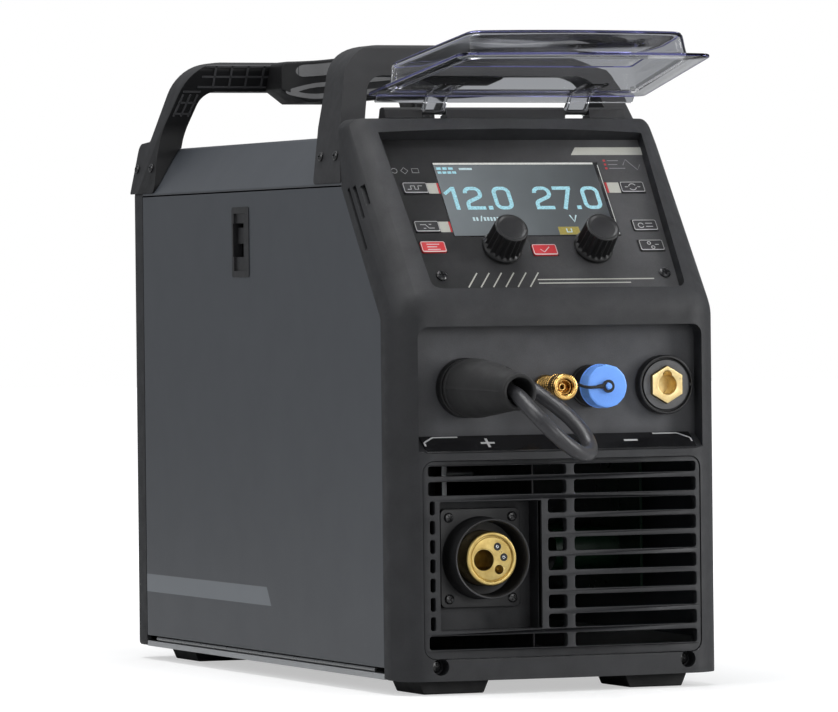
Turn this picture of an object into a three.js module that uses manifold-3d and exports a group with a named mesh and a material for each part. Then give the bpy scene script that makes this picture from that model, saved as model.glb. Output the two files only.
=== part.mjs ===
// A compact inverter welding machine with a wire-feeder bay, built as separate named pieces.
// Millimetres, +Z up. +X is to the machine's right as seen from the front, which faces -Y.
// y = 0 is the joint between the side sheets and the front bezel, z = 0 is the floor.

import * as THREE from 'three';
import { mergeVertices } from 'three/addons/utils/BufferGeometryUtils.js';
import Module from 'manifold-3d';

const wasm = await Module();
wasm.setup();

// ---------- driving dimensions ----------

const degree = Math.PI / 180;
const gap = 0.3;
const sheet = 1.5;
const halfWidth = 119;
const chassisBottom = 9.5;
const seamHeight = 343;
const roofHeight = 378.5;
const roofHalfWidth = 95;
const creaseHeight = 252;
const slopeAngle = 38 * degree;
const bezelTop = 389;
const bezelDepth = 31;
const bezelCrown = 4;
const bezelCorner = 25;
const bezelWall = 3;
const rearJoint = 480;
const rearEnd = 507;
const dividerX = -8;

// The plane that the front hoop and the bezel's upper rear edge share, in side view.
const hoopLean = 0.52;
const hoopFront = 70;

// Carrying hoops in front view: legs lean in gently up to the shoulder and more above it.
const hoop = {
  foot: 119.8, shoulder: 385, footSplay: 0.215, splay: 0.297, leg: 18,
  low: 343.9, under: 420, top: 441.5, radius: 32, inner: 14,
};
const grip = { half: 17, flare: 34, low: 410.6, high: 441 };

// Connector recess of the front, and the pieces on its back wall.
const recess = { half: 104, bottom: 162, top: 246.8, back: -16, radius: 7.5, shelfBack: 172 };
const socketHeight = 205.5;
const plusX = -66;
const minusX = 80;
const gasX = -7;
const capX = 26;
const glandX = -36.5;
const glandHeight = 210;

// Grille insert, its slots and the pocket of the torch connector.
const grille = { half: 101.5, bottom: 24.3, top: 156.9, radius: 8, depth: 8 };
const slotPitch = 12.9;
const slotHeight = 9.3;
const firstSlot = 30.5;
const pocket = { left: -90.5, right: -17.3, bottom: 43, top: 130, back: -11 };
const torch = { x: -54.6, z: 91 };

// Control face: s runs up the slope, d runs outward from the joint line.
const face = { half: 98, lower: 93, foot: 2, sag: 6, top: 137.5, shift: 2.5, floor: 21 };
const display = { half: 61.4, low: 52.5, high: 116.8 };
const keySize = { width: 18, height: 9.4 };
const knobS = 40.5;
const knobs = { left: -27.4, right: 39.9 };

// Spool and feeder bay.
const spool = { y: 330, z: 190 };

// ---------- materials ----------

const finish = (color, roughness, metalness) =>
  new THREE.MeshStandardMaterial({ color, roughness, metalness });
const bluePaint = finish(0x4a4f56, 0.42, 0.25);
const blackMoulding = finish(0x303134, 0.68, 0);
const satinBlack = finish(0x222326, 0.5, 0);
const blackRubber = finish(0x1b1b1c, 0.85, 0);
const zincSheet = finish(0xa4a7aa, 0.4, 0.9);
const darkSteel = finish(0x6a6c6f, 0.4, 0.9);
const brass = finish(0xc79a4b, 0.28, 1);
const blueCap = finish(0x2f5fb5, 0.5, 0);
const redKey = finish(0xb9242b, 0.5, 0);
const glassFront = finish(0x5b6168, 0.12, 0);
const greenBoard = finish(0x1f5a37, 0.6, 0);
const clearPlastic = new THREE.MeshStandardMaterial({
  color: 0xdfe4ee, roughness: 0.08, metalness: 0, transparent: true, opacity: 0.35,
});

// ---------- solid helpers ----------

function solidOf(geometry) {
  const bare = geometry.clone();
  bare.deleteAttribute('normal');
  bare.deleteAttribute('uv');
  const welded = mergeVertices(bare, 1e-4);
  return new wasm.Manifold(new wasm.Mesh({
    numProp: 3,
    vertProperties: new Float32Array(welded.attributes.position.array),
    triVerts: new Uint32Array(welded.index.array),
  }));
}

function geometryOf(solid) {
  const mesh = solid.getMesh();
  const geometry = new THREE.BufferGeometry();
  geometry.setAttribute('position', new THREE.BufferAttribute(new Float32Array(mesh.vertProperties), 3));
  geometry.setIndex(new THREE.BufferAttribute(new Uint32Array(mesh.triVerts), 1));
  const flat = geometry.toNonIndexed();
  flat.computeVertexNormals();
  return flat;
}

function union(...solids) {
  return solids.reduce((sum, solid) => sum.add(solid));
}

function placed(geometry, matrix) {
  geometry.applyMatrix4(matrix);
  return geometry;
}

// A box between two corners.
function block(low, high) {
  const size = high.map((value, axis) => value - low[axis]);
  const box = new THREE.BoxGeometry(...size);
  box.translate(...low.map((value, axis) => value + size[axis] / 2));
  return solidOf(box);
}

function extruded(shape, depth, curveSegments) {
  return new THREE.ExtrudeGeometry(shape, { depth, bevelEnabled: false, curveSegments, steps: 1 });
}

// A shape drawn in (y, z), run along X.
function alongX(shape, from, to, curveSegments = 2) {
  const axes = new THREE.Matrix4().makeBasis(
    new THREE.Vector3(0, 1, 0), new THREE.Vector3(0, 0, 1), new THREE.Vector3(1, 0, 0));
  const geometry = placed(extruded(shape, to - from, curveSegments), axes);
  geometry.translate(from, 0, 0);
  return solidOf(geometry);
}

// A shape drawn in (x, z), run along Y.
function alongY(shape, from, to, curveSegments = 2) {
  const geometry = extruded(shape, to - from, curveSegments);
  geometry.rotateX(Math.PI / 2);
  geometry.translate(0, to, 0);
  return solidOf(geometry);
}

// A shape drawn in (x, y), run along Z.
function alongZ(shape, from, to, curveSegments = 2) {
  const geometry = extruded(shape, to - from, curveSegments);
  geometry.translate(0, 0, from);
  return solidOf(geometry);
}

// A closed outline from corners [a, b, radius], each rounded by an arc of its own radius.
function outline(corners) {
  const shape = new THREE.Shape();
  corners.forEach(([a, b, radius = 0], index) => {
    const here = new THREE.Vector2(a, b);
    const before = corners[(index + corners.length - 1) % corners.length];
    const after = corners[(index + 1) % corners.length];
    const back = new THREE.Vector2(before[0], before[1]).sub(here).normalize();
    const ahead = new THREE.Vector2(after[0], after[1]).sub(here).normalize();
    const half = Math.acos(THREE.MathUtils.clamp(back.dot(ahead), -1, 1)) / 2;
    const reach = radius / Math.tan(half);
    const start = here.clone().addScaledVector(back, reach);
    if (index === 0) shape.moveTo(start.x, start.y);
    else shape.lineTo(start.x, start.y);
    if (radius > 0) {
      const end = here.clone().addScaledVector(ahead, reach);
      const middle = back.clone().add(ahead).normalize();
      const centre = here.clone().addScaledVector(middle, radius / Math.sin(half));
      const clockwise = back.cross(ahead) > 0;
      shape.absarc(centre.x, centre.y, radius, start.clone().sub(centre).angle(),
        end.clone().sub(centre).angle(), clockwise);
    }
  });
  shape.closePath();
  return shape;
}

function roundedBox(a0, a1, b0, b1, radius) {
  return outline([[a0, b0, radius], [a1, b0, radius], [a1, b1, radius], [a0, b1, radius]]);
}

function mirrored(corners) {
  return corners.concat(corners.slice().reverse().map(([a, b, radius]) => [-a, b, radius]));
}

// A round bar along an axis, centred on (u, v) of the other two axes.
function rod(axis, radius, from, to, centre, segments = 16) {
  const geometry = new THREE.CylinderGeometry(radius, radius, to - from, segments);
  const middle = (from + to) / 2;
  if (axis === 'x') {
    geometry.rotateZ(Math.PI / 2);
    geometry.translate(middle, centre[0], centre[1]);
  } else if (axis === 'y') {
    geometry.translate(centre[0], middle, centre[1]);
  } else {
    geometry.rotateX(Math.PI / 2);
    geometry.translate(centre[0], centre[1], middle);
  }
  return solidOf(geometry);
}

// A profile [radius, distance] turned about Y, then faced toward -Y: distance grows to the front.
function turnedForward(profile, segments = 18) {
  const points = profile.map(([radius, distance]) => new THREE.Vector2(radius, distance));
  const geometry = new THREE.LatheGeometry(points, segments);
  geometry.rotateX(Math.PI);
  return solidOf(geometry);
}

// ---------- scene helpers ----------

const machine = new THREE.Group();

// Keeps the largest body, which drops slivers that a cut can leave, and merges coplanar faces.
function cleaned(solid) {
  const bodies = solid.asOriginal().simplify(0.01).decompose();
  return bodies.reduce((best, body) => (body.volume() > best.volume() ? body : best));
}

function piece(name, solid, material, parent = machine) {
  const mesh = new THREE.Mesh(geometryOf(cleaned(solid)), material);
  mesh.name = name;
  parent.add(mesh);
  return mesh;
}

// The control face's own group: local x, s and d become the mesh's X, Y and Z.
const controlFace = new THREE.Group();
controlFace.position.set(0, 0, creaseHeight);
controlFace.rotation.x = Math.PI / 2 - slopeAngle;
controlFace.updateMatrix();
machine.add(controlFace);

function onSlope(solid) {
  return solidOf(placed(geometryOf(solid), controlFace.matrix));
}

// ---------- the front bezel ----------

// Plan of the bezel in (x, -depth): flat sides, rounded corners and a crowned front.
function bezelPlan(inset, back, shift = 0) {
  const half = halfWidth - inset;
  const corner = bezelCorner - inset;
  const depth = bezelDepth - inset;
  const flat = depth - corner;
  const shape = new THREE.Shape();
  shape.moveTo(half, -back + shift);
  shape.lineTo(-half, -back + shift);
  shape.lineTo(-half, -flat + shift);
  shape.absarc(-half + corner, -flat + shift, corner, Math.PI, 1.5 * Math.PI, false);
  shape.quadraticCurveTo(0, -depth - 2 * bezelCrown + shift, half - corner, -depth + shift);
  shape.absarc(half - corner, -flat + shift, corner, 1.5 * Math.PI, 2 * Math.PI, false);
  shape.closePath();
  return shape;
}

// The arc that the bezel's front follows where the upright part turns into the slope.
class CreaseArc extends THREE.Curve {
  getPoint(t, target = new THREE.Vector3()) {
    const angle = t * slopeAngle;
    return target.set(0, -bezelDepth * Math.cos(angle), creaseHeight + bezelDepth * Math.sin(angle));
  }
}

function bezelBody(inset, back, bottom) {
  const segments = 4;
  const lap = 0.04;
  const upright = alongZ(bezelPlan(inset, back), bottom, creaseHeight + lap, segments);
  const sloped = placed(extruded(bezelPlan(inset, back), 190, segments),
    new THREE.Matrix4().makeTranslation(0, 0, -lap));
  sloped.rotateX(-slopeAngle);
  sloped.translate(0, 0, creaseHeight);
  const flipped = new THREE.Matrix4().makeScale(-1, -1, 1);
  const turning = new THREE.Shape(
    bezelPlan(inset, Math.max(back, 0.6), bezelDepth).getPoints(segments)
      .map((point) => new THREE.Vector3(point.x, point.y, 0).applyMatrix4(flipped))
      .map((point) => new THREE.Vector2(point.x, point.y)));
  const crease = new THREE.ExtrudeGeometry(turning, { steps: 5, extrudePath: new CreaseArc() });
  return union(upright, solidOf(sloped), solidOf(crease));
}

// Front view of the bezel: straight sides that lean in slightly above the seam.
function bezelFrontView(inset) {
  const lean = 7;
  return outline(mirrored([
    [halfWidth - inset, chassisBottom + inset, 4],
    [halfWidth - inset, seamHeight, 0],
    [halfWidth - lean - inset, bezelTop - inset, 10 - inset],
  ]));
}

function slopedCut(low, high) {
  return onSlope(block(low, high));
}

// Outline of the control recess on the slope, grown or shrunk by a margin.
function faceOutline(margin) {
  const middle = face.shift;
  const shape = new THREE.Shape();
  shape.moveTo(middle - face.half - margin, face.top + margin);
  shape.lineTo(middle - face.lower - margin, face.foot + 6);
  shape.quadraticCurveTo(middle - face.lower - margin, face.foot - margin,
    middle - face.lower + 8, face.foot - 1 - margin);
  shape.quadraticCurveTo(middle, face.foot - face.sag - margin,
    middle + face.lower - 8, face.foot - 1 - margin);
  shape.quadraticCurveTo(middle + face.lower + margin, face.foot - margin,
    middle + face.lower + margin, face.foot + 6);
  shape.lineTo(middle + face.half + margin, face.top + margin);
  shape.closePath();
  return shape;
}

const outerBezel = bezelBody(0, 0, chassisBottom)
  .intersect(alongY(bezelFrontView(0), -60, 160, 3));

function frontBezel() {
  const inner = bezelBody(bezelWall, -6, chassisBottom + bezelWall)
    .intersect(alongY(bezelFrontView(bezelWall), -60, 160, 3));
  const behindHoop = alongX(outline([
    [hoopFront, seamHeight], [hoopFront + 100, seamHeight],
    [hoopFront + 100, 420], [hoopFront + (420 - seamHeight) * hoopLean, 420],
  ]), -130, 130);
  const recessHousing = alongX(outline([
    [-40, 158.4], [-29, 158.4], [recess.back + 2.6, 168.8], [recess.back + 2.6, 249.6], [-40, 249.6],
  ]), -recess.half - 2.6, recess.half + 2.6);
  const controlWalls = onSlope(alongZ(faceOutline(3), face.floor - 4, bezelDepth + 3, 4));
  const screwBosses = [-1, 1].map((side) => rod('y', 8, -30, -16, [side * 90.5, 19.2], 16));
  const housings = union(recessHousing, controlWalls, ...screwBosses).intersect(outerBezel);
  let bezel = union(outerBezel.subtract(inner), housings).subtract(behindHoop);

  const shelf = alongX(outline([
    [recess.back, recess.shelfBack], [recess.back, 280], [-60, 280],
    [-60, recess.bottom], [-31, recess.bottom],
  ]), -130, 130);
  const opening = alongY(
    roundedBox(-recess.half, recess.half, 140, recess.top, recess.radius), -60, -10, 3);
  const controlCut = onSlope(alongZ(faceOutline(0), face.floor - 0.3, 60, 4));
  const controlThrough = onSlope(alongZ(faceOutline(-2.5), -20, 60, 2));
  const window = alongY(roundedBox(-grille.half - gap, grille.half + gap, grille.bottom - gap,
    grille.top + gap, grille.radius), -60, 10, 2);
  bezel = bezel.subtract(shelf.intersect(opening)).subtract(controlCut).subtract(controlThrough);
  bezel = bezel.subtract(window);

  const wallHoles = [
    [plusX, socketHeight, 15.3], [minusX, socketHeight, 15.3], [gasX, socketHeight, 5.3],
    [capX, socketHeight, 10.3], [glandX, glandHeight, 6.3],
  ];
  wallHoles.forEach(([x, z, radius]) => {
    bezel = bezel.subtract(rod('y', radius, -20, -10, [x, z], 24));
  });
  [-1, 1].forEach((side) => {
    bezel = bezel.subtract(rod('y', 5.8, -60, -20, [side * 90.5, 19.2], 20));
    bezel = bezel.subtract(rod('y', 2.2, -60, 0, [side * 90.5, 19.2], 8));
  });
  // Cooling gills in both side walls, running with the slope.
  const gills = [[9, 53, 106], [15, 75, 103], [21, 82, 99]];
  [-1, 1].forEach((side) => {
    gills.forEach(([depth, low, high]) => {
      const ends = [side * 100, side * 130].sort((a, b) => a - b);
      bezel = bezel.subtract(slopedCut([ends[0], low, depth - 1.6], [ends[1], high, depth + 1.6]));
    });
  });
  return bezel;
}

function frontGrille() {
  const skin = alongZ(bezelPlan(0.8, -2), grille.bottom, grille.top, 4);
  const core = alongZ(bezelPlan(0.8 + grille.depth, -6), grille.bottom - 5, grille.top + 5, 4);
  const plate = skin.subtract(core).intersect(
    alongY(roundedBox(-grille.half, grille.half, grille.bottom, grille.top, grille.radius), -60, -5, 2));
  const pocketBox = block([pocket.left - 2, -40, pocket.bottom - 2],
    [pocket.right + 2, pocket.back + 2, pocket.top + 2]);
  let body = union(plate, pocketBox.intersect(skin));
  const rows = 10;
  const rightEnd = 98;
  for (let row = 0; row < rows; row += 1) {
    const low = firstSlot + row * slotPitch;
    const high = row === rows - 1 ? 153.5 : low + slotHeight;
    body = body.subtract(block([6.3, -60, low], [rightEnd, 0, high]));
    if (row === 0 || row >= 8) {
      body = body.subtract(block([-rightEnd, -60, low], [0.6, 0, high]));
    } else {
      body = body.subtract(block([-97, -60, low], [-93.4, 0, high]));
      body = body.subtract(block([-13, -60, low], [0.6, 0, high]));
    }
  }
  body = body.subtract(block([pocket.left, -60, pocket.bottom], [pocket.right, pocket.back, pocket.top]));
  return body.subtract(rod('y', 19, -30, 0, [torch.x, torch.z], 24));
}

// ---------- sheet-metal enclosure ----------

// The side sheets' outline in (y, z), with the front edge on the bezel's joint line.
function sideOutline(low, margin) {
  const rise = seamHeight - margin - creaseHeight;
  return outline([
    [0.5, low], [rearJoint - 0.5, low], [rearJoint - 0.5, seamHeight - margin],
    [0.6 + rise * Math.tan(slopeAngle), seamHeight - margin], [0.5, creaseHeight, 14],
  ]);
}

function baseChassis() {
  const half = halfWidth - 0.2;
  const floor = block([-half, 1, chassisBottom + 0.5], [half, rearJoint - 0.5, chassisBottom + 2.5]);
  const leftLip = block([-half, 1, chassisBottom + 0.5], [-half + 2, rearJoint - 1, 14]);
  const rightLip = block([half - 3.6, 1, chassisBottom + 0.5], [half - 1.9, rearJoint - 3, 32]);
  const frontLip = block([-80, 1, chassisBottom + 0.5], [80, 2.5, 23]);
  return union(floor, leftLip, rightLip, frontLip);
}

function topCover() {
  const profile = (inset) => mirrored([
    [halfWidth - 0.2 - inset, seamHeight + 0.5, 0],
    [halfWidth - 0.2 - inset, seamHeight + 2, 0],
    [roofHalfWidth - inset * 0.7, roofHeight - inset, 5 - inset],
  ]);
  const front = alongX(outline([
    [-50, seamHeight - 10], [hoopFront - 10 * hoopLean + 0.6, seamHeight - 10],
    [hoopFront + 57 * hoopLean + 0.6, seamHeight + 57], [-50, seamHeight + 57],
  ]), -130, 130);
  const shell = alongY(outline(profile(0)), 60, rearJoint - 0.4)
    .subtract(alongY(outline(profile(sheet)), 0, rearEnd));
  const edge = halfWidth - 0.4;
  const flanges = [[-edge, 9 - halfWidth], [halfWidth - 9, edge]].map(([from, to]) => block(
    [from, 60, seamHeight + 0.5], [to, rearJoint - 0.4, seamHeight + 2]));
  return union(shell, ...flanges).subtract(front);
}

function rightSidePanel() {
  const outer = halfWidth - 0.1;
  const low = 14;
  const slab = alongX(sideOutline(low, 0.4), outer - sheet, outer);
  const top = seamHeight - 0.4;
  const topFlange = block([outer - 9, 80, top - sheet], [outer, rearJoint - 8, top]);
  const rearFlange = block([outer - 9, rearJoint - 2, low], [outer, rearJoint - 0.5, seamHeight - 6]);
  let panel = union(slab, topFlange, rearFlange);
  const louvreRows = 9;
  for (let row = 0; row < louvreRows; row += 1) {
    const z = 150 + row * 16;
    panel = panel.subtract(block([100, 340, z], [130, 440, z + 5]));
  }
  return panel;
}

const hinge = { x: -halfWidth + 1.9, z: 15.9, radius: 1.6 };
const latch = { front: 252.6, back: 287.6, low: 282, high: 332 };

function wireDoor() {
  const outer = -halfWidth + 0.1;
  const low = 17.9;
  const slab = alongX(sideOutline(low, 0.4), outer, outer + sheet);
  const top = seamHeight - 0.4;
  const topFlange = block([outer, 80, top - sheet], [outer + 7, rearJoint - 4, top]);
  const rearFlange = block([outer, rearJoint - 2, low + 4], [outer + 8, rearJoint - 0.5, seamHeight - 6]);
  const frontFlange = block([outer, 0.5, low + 4], [outer + 8, 2, creaseHeight - 12]);
  const hole = block([-130, latch.front + 2, latch.low + 2], [-100, latch.back - 2, latch.high - 2]);
  return union(slab, topFlange, rearFlange, frontFlange).subtract(hole);
}

function doorLatchFrame() {
  const outer = -halfWidth - 0.4;
  const inside = (from, to, margin) => block([from, latch.front + margin, latch.low + margin],
    [to, latch.back - margin, latch.high - margin]);
  const rim = alongX(roundedBox(latch.front, latch.back, latch.low, latch.high, 2), outer, outer + 0.3);
  const cup = inside(outer, outer + 7, 2.3);
  const dish = inside(outer - 1, outer + 1.6, 4.5);
  const window = block([outer - 1, 266.9, 296.5], [outer + 10, 284.5, 320.5]);
  return union(rim, cup).subtract(window).subtract(dish);
}

function doorLatchSlider() {
  const face0 = -halfWidth + 7.2;
  const plate = block([face0, 258, 284], [face0 + 1.8, 288, 338]);
  const fingerTab = block([face0 - 4.4, 268.4, 306], [face0, 283, 317.5]);
  const arm = block([face0, 266, 330], [face0 + 5.6, 276, 334]);
  const tongue = block([face0 + 3.8, 266, 330], [face0 + 5.6, 276, 342.6]);
  return union(plate, fingerTab, arm, tongue);
}

function rearBezel() {
  const view = (inset) => outline(mirrored([
    [halfWidth - inset, chassisBottom + inset, 6],
    [halfWidth - inset, seamHeight, 0],
    [roofHalfWidth - inset * 0.7, roofHeight - inset, 6],
  ]));
  const plan = (inset) => outline([
    [-halfWidth + inset, rearJoint, 0], [halfWidth - inset, rearJoint, 0],
    [halfWidth - inset, rearEnd - inset, 12], [-halfWidth + inset, rearEnd - inset, 12],
  ]);
  const outer = alongY(view(0), rearJoint, rearEnd).intersect(alongZ(plan(0), 0, 400, 3));
  const hollow = alongY(view(3), rearJoint - 1, rearEnd - 3)
    .intersect(alongZ(plan(3), 0, 400, 3));
  const mouth = alongY(view(3), rearJoint - 1, rearJoint + 4);
  let body = outer.subtract(hollow).subtract(mouth);
  const ribs = 9;
  for (let rib = 0; rib < ribs; rib += 1) {
    const z = fan.z - 52 + rib * 12.2;
    const reach = Math.sqrt(55 ** 2 - (z + 3 - fan.z) ** 2);
    body = body.subtract(block([fan.x - reach, 480, z], [fan.x - 3, 520, z + 6.5]));
    body = body.subtract(block([fan.x + 3, 480, z], [fan.x + reach, 520, z + 6.5]));
  }
  body = body.subtract(block([-72, 480, 262], [-38, 520, 288]));
  body = body.subtract(rod('y', 9.3, 480, 520, [-60, 200], 20));
  return body.subtract(rod('y', 6.3, 480, 520, [-60, 90], 16));
}

// ---------- carrying handle ----------

function legReach(z) {
  const above = Math.max(0, z - hoop.shoulder);
  return hoop.foot - (z - above - hoop.low) * hoop.footSplay - above * hoop.splay;
}

// Front view of a hoop: two splayed legs and a level bar.
function hoopOutline() {
  const inner = (z) => legReach(z) - hoop.leg;
  return outline(mirrored([
    [legReach(hoop.top), hoop.top, hoop.radius], [legReach(hoop.shoulder), hoop.shoulder, 0],
    [legReach(hoop.low), hoop.low, 2], [inner(hoop.low), hoop.low, 2],
    [inner(hoop.shoulder), hoop.shoulder, 0], [inner(hoop.under), hoop.under, hoop.inner],
  ]).reverse());
}

// Side views in (y, z): each hoop is widest at its foot and leans toward the other one.
const frontHoopSide = [
  [hoopFront + 1.1, hoop.low, 0], [hoopFront + 53, hoop.low, 8], [143, 416, 40],
  [156, hoop.top, 5], [hoopFront + 0.6 + (hoop.top - seamHeight) * hoopLean, hoop.top, 6],
];
const rearHoopSide = [
  [452, hoop.low, 6], [rearEnd - 1, hoop.low, 3], [rearEnd - 1, 382.5, 6], [483, 384, 3],
  [466, hoop.top, 6], [434, hoop.top, 5], [461.5, 392, 20], [461.5, 372, 20],
];

function handleHoop(side) {
  const arch = alongX(outline(side), -130, 130, 3).intersect(alongY(hoopOutline(), 0, rearEnd + 10, 5));
  const roof = alongY(outline(mirrored([
    [halfWidth + 0.2, seamHeight - 20, 0], [halfWidth + 0.2, seamHeight + 2.1, 0],
    [roofHalfWidth + 0.3, roofHeight + 0.4, 5],
  ])), -50, 600);
  return arch.subtract(roof);
}

// The straight line y(z) through two points of a side view, moved by a clearance.
function throughPoints([y0, z0], [y1, z1], clearance) {
  return (z) => y0 + ((z - z0) * (y1 - y0)) / (z1 - z0) + clearance;
}

// The grip between the hoops: waisted in plan, with wide ends whose lower edges are cut off.
function centreGrip() {
  const { half, flare, low, high } = grip;
  const ends = [118, 460];
  const plan = new THREE.Shape();
  plan.moveTo(-flare, 60);
  plan.lineTo(flare, 60);
  plan.lineTo(flare, ends[0] + 40);
  plan.quadraticCurveTo(half, ends[0] + 50, half, ends[0] + 80);
  plan.lineTo(half, ends[1] - 90);
  plan.quadraticCurveTo(half, ends[1] - 60, flare, ends[1] - 50);
  plan.lineTo(flare, rearEnd);
  plan.lineTo(-flare, rearEnd);
  plan.lineTo(-flare, ends[1] - 50);
  plan.quadraticCurveTo(-half, ends[1] - 60, -half, ends[1] - 90);
  plan.lineTo(-half, ends[0] + 80);
  plan.quadraticCurveTo(-half, ends[0] + 50, -flare, ends[0] + 40);
  plan.closePath();
  const frontAt = throughPoints(frontHoopSide[2], frontHoopSide[3], 0.5);
  const backAt = throughPoints(rearHoopSide[6], rearHoopSide[5], -0.5);
  const side = outline([
    [frontAt(low), low, 0], [backAt(low), low, 0], [backAt(high), high, 0], [frontAt(high), high, 0],
  ]);
  const section = outline(mirrored([[half + 2, low, 2], [flare, low + 9.5, 3], [flare, high, 4]]));
  const body = alongZ(plan, low - 5, high + 5, 4).intersect(alongX(side, -60, 60))
    .intersect(alongY(section, 60, rearEnd, 2));
  return body.subtract(block([-6, frontAt(low) + 40, low - 1], [6, backAt(low) - 40, high - 4]));
}

// ---------- clear cover over the controls ----------

const cover = { axisY: 77, axisZ: 393.6, pin: 1.8, arms: [-49.5, 57], armHalf: 8.5, open: 61 * degree };
const coverTop = 149;

function hingeBar() {
  const low = bezelTop + gap;
  const { axisY, axisZ, armHalf, arms } = cover;
  const clear = armHalf + 0.6;
  const spans = [[-86, arms[0] - clear], [arms[0] + clear, arms[1] - clear], [arms[1] + clear, 93]];
  const towers = spans.map(([from, to]) => alongX(outline([
    [axisY - 6, low, 0], [axisY + 7, low, 0], [axisY + 5, axisZ + 2, 0],
    [axisY + 2.4, axisZ + 3.2, 0], [axisY - 2.4, axisZ + 3.2, 0], [axisY - 4.6, axisZ + 1.6, 0],
  ]), from, to));
  const pin = rod('x', cover.pin, spans[0][0] + 2, spans[2][1] - 2, [axisY, axisZ], 12);
  return union(...towers, pin);
}

// Outline of the cover's tray on the slope, drawn in by an inset.
function trayOutline(inset) {
  const middle = face.shift;
  const bottom = 5 + inset;
  const top = coverTop - inset;
  const lower = face.lower - 1 - inset;
  const upper = face.half + 5 - inset;
  const shape = new THREE.Shape();
  shape.moveTo(middle - upper + 6, top);
  shape.quadraticCurveTo(middle - upper, top, middle - upper, top - 6);
  shape.lineTo(middle - lower, bottom + 9);
  shape.quadraticCurveTo(middle - lower, bottom, middle - lower + 9, bottom);
  shape.quadraticCurveTo(middle, bottom - 6, middle + lower - 9, bottom);
  shape.quadraticCurveTo(middle + lower, bottom, middle + lower, bottom + 9);
  shape.lineTo(middle + upper, top - 6);
  shape.quadraticCurveTo(middle + upper, top, middle + upper - 6, top);
  shape.closePath();
  return shape;
}

// The cover as it lies when shut: a shallow clear tray with two hinge arms over its top edge.
function clearCoverShut() {
  const base = bezelDepth + bezelCrown + 0.6;
  const rim = 2.1;
  const height = 20;
  const wall = 2;
  const tray = (inset, from, to) => alongZ(trayOutline(inset), from, to, 4);
  const flange = tray(0, base, base + rim).subtract(tray(12 + wall, base - 1, base + rim + 1));
  const dome = tray(12, base, base + height).subtract(tray(12 + wall, base - 1, base + height - wall));
  const axis = new THREE.Vector3(0, cover.axisY, cover.axisZ - creaseHeight)
    .applyAxisAngle(new THREE.Vector3(1, 0, 0), slopeAngle - Math.PI / 2);
  // A lip along the hinge side turns back over the bezel's top edge.
  const lip = alongX(outline([
    [coverTop - 4, base], [coverTop - 1.6, base], [coverTop + 3.4, base - 3.9],
    [coverTop + 4.5, base - 2.6], [coverTop - 1, base + rim], [coverTop - 4, base + rim],
  ]), face.shift - face.half, face.shift + face.half);
  const arms = cover.arms.map((x) => {
    const link = alongX(outline([
      [coverTop - 36, base + 0.4], [coverTop - 2, base + 0.4], [axis.y - 3.4, axis.z - 0.6],
      [axis.y + 3.4, axis.z + 1], [axis.y - 3, axis.z + 3.4], [coverTop - 4, base + rim + 1],
      [coverTop - 36, base + rim + 1],
    ]), x - cover.armHalf, x + cover.armHalf);
    const knuckle = rod('x', 3.6, x - cover.armHalf, x + cover.armHalf, [axis.y, axis.z], 16);
    const bore = rod('x', cover.pin + gap, -130, 130, [axis.y, axis.z], 12);
    return union(link, knuckle).subtract(bore);
  });
  return union(flange, dome, lip, ...arms);
}

function clearCoverOpen() {
  const geometry = geometryOf(onSlope(clearCoverShut()));
  geometry.translate(0, -cover.axisY, -cover.axisZ);
  geometry.rotateX(-cover.open);
  geometry.translate(0, cover.axisY, cover.axisZ);
  return solidOf(geometry);
}

// ---------- control face ----------

const keys = [
  ['key_mode', -77, 94.4, satinBlack], ['key_trigger', -77, 60.8, satinBlack],
  ['key_save', -77, 43.2, redKey], ['key_set', 3.8, 40, redKey],
  ['key_sync', 84, 94.4, satinBlack], ['key_gas', 84, 60.8, satinBlack],
  ['key_purge', 84, 43.2, satinBlack],
];
const board = { low: 6, high: 7.6, switchTop: 14 };

function controlOverlay() {
  const low = face.floor;
  const middle = face.shift;
  let plate = alongZ(faceOutline(-0.4), low, low + 2, 4);
  const opening = display.half + gap;
  plate = plate.subtract(block([middle - opening, display.low - gap, 0],
    [middle + opening, display.high + gap, 40]));
  keys.forEach(([, x, s]) => {
    const half = [keySize.width / 2 + gap, keySize.height / 2 + gap];
    plate = plate.subtract(block([x - half[0], s - half[1], 0], [x + half[0], s + half[1], 40]));
  });
  [knobs.left, knobs.right].forEach((x) => {
    plate = plate.subtract(rod('z', 4, 0, 40, [x, knobS], 16));
  });
  return plate;
}

function displayModule() {
  const middle = face.shift;
  const layer = (margin, from, to) => block(
    [middle - display.half - margin, display.low - margin, from],
    [middle + display.half + margin, display.high + margin, to]);
  const glass = layer(0, 17, face.floor + 2.1);
  const tray = layer(2.5, 15, face.floor - gap);
  return union(glass, tray);
}

function controlBoard() {
  let body = block([-90, 14, board.low], [95, 126, board.high]);
  [knobs.left, knobs.right].forEach((x) => {
    body = body.add(block([x - 6, knobS - 6, board.high - 0.1], [x + 6, knobS + 6, board.high + 9]));
    body = body.subtract(rod('z', 3.4, 0, 40, [x, knobS], 12));
  });
  keys.forEach(([, x, s]) => {
    body = body.add(block([x - 3, s - 3, board.high - 0.1], [x + 3, s + 3, board.switchTop]));
  });
  const ribbonSocket = block([-30, 80, board.high - 0.1], [30, 92, 14.5]);
  return body.add(ribbonSocket);
}

function keyPad() {
  const cap = block([-keySize.width / 2, -keySize.height / 2, 15.1],
    [keySize.width / 2, keySize.height / 2, face.floor + 2.9]);
  const foot = block([-2.5, -2.5, board.switchTop + 0.7], [2.5, 2.5, 16]);
  return union(cap, foot);
}

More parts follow.
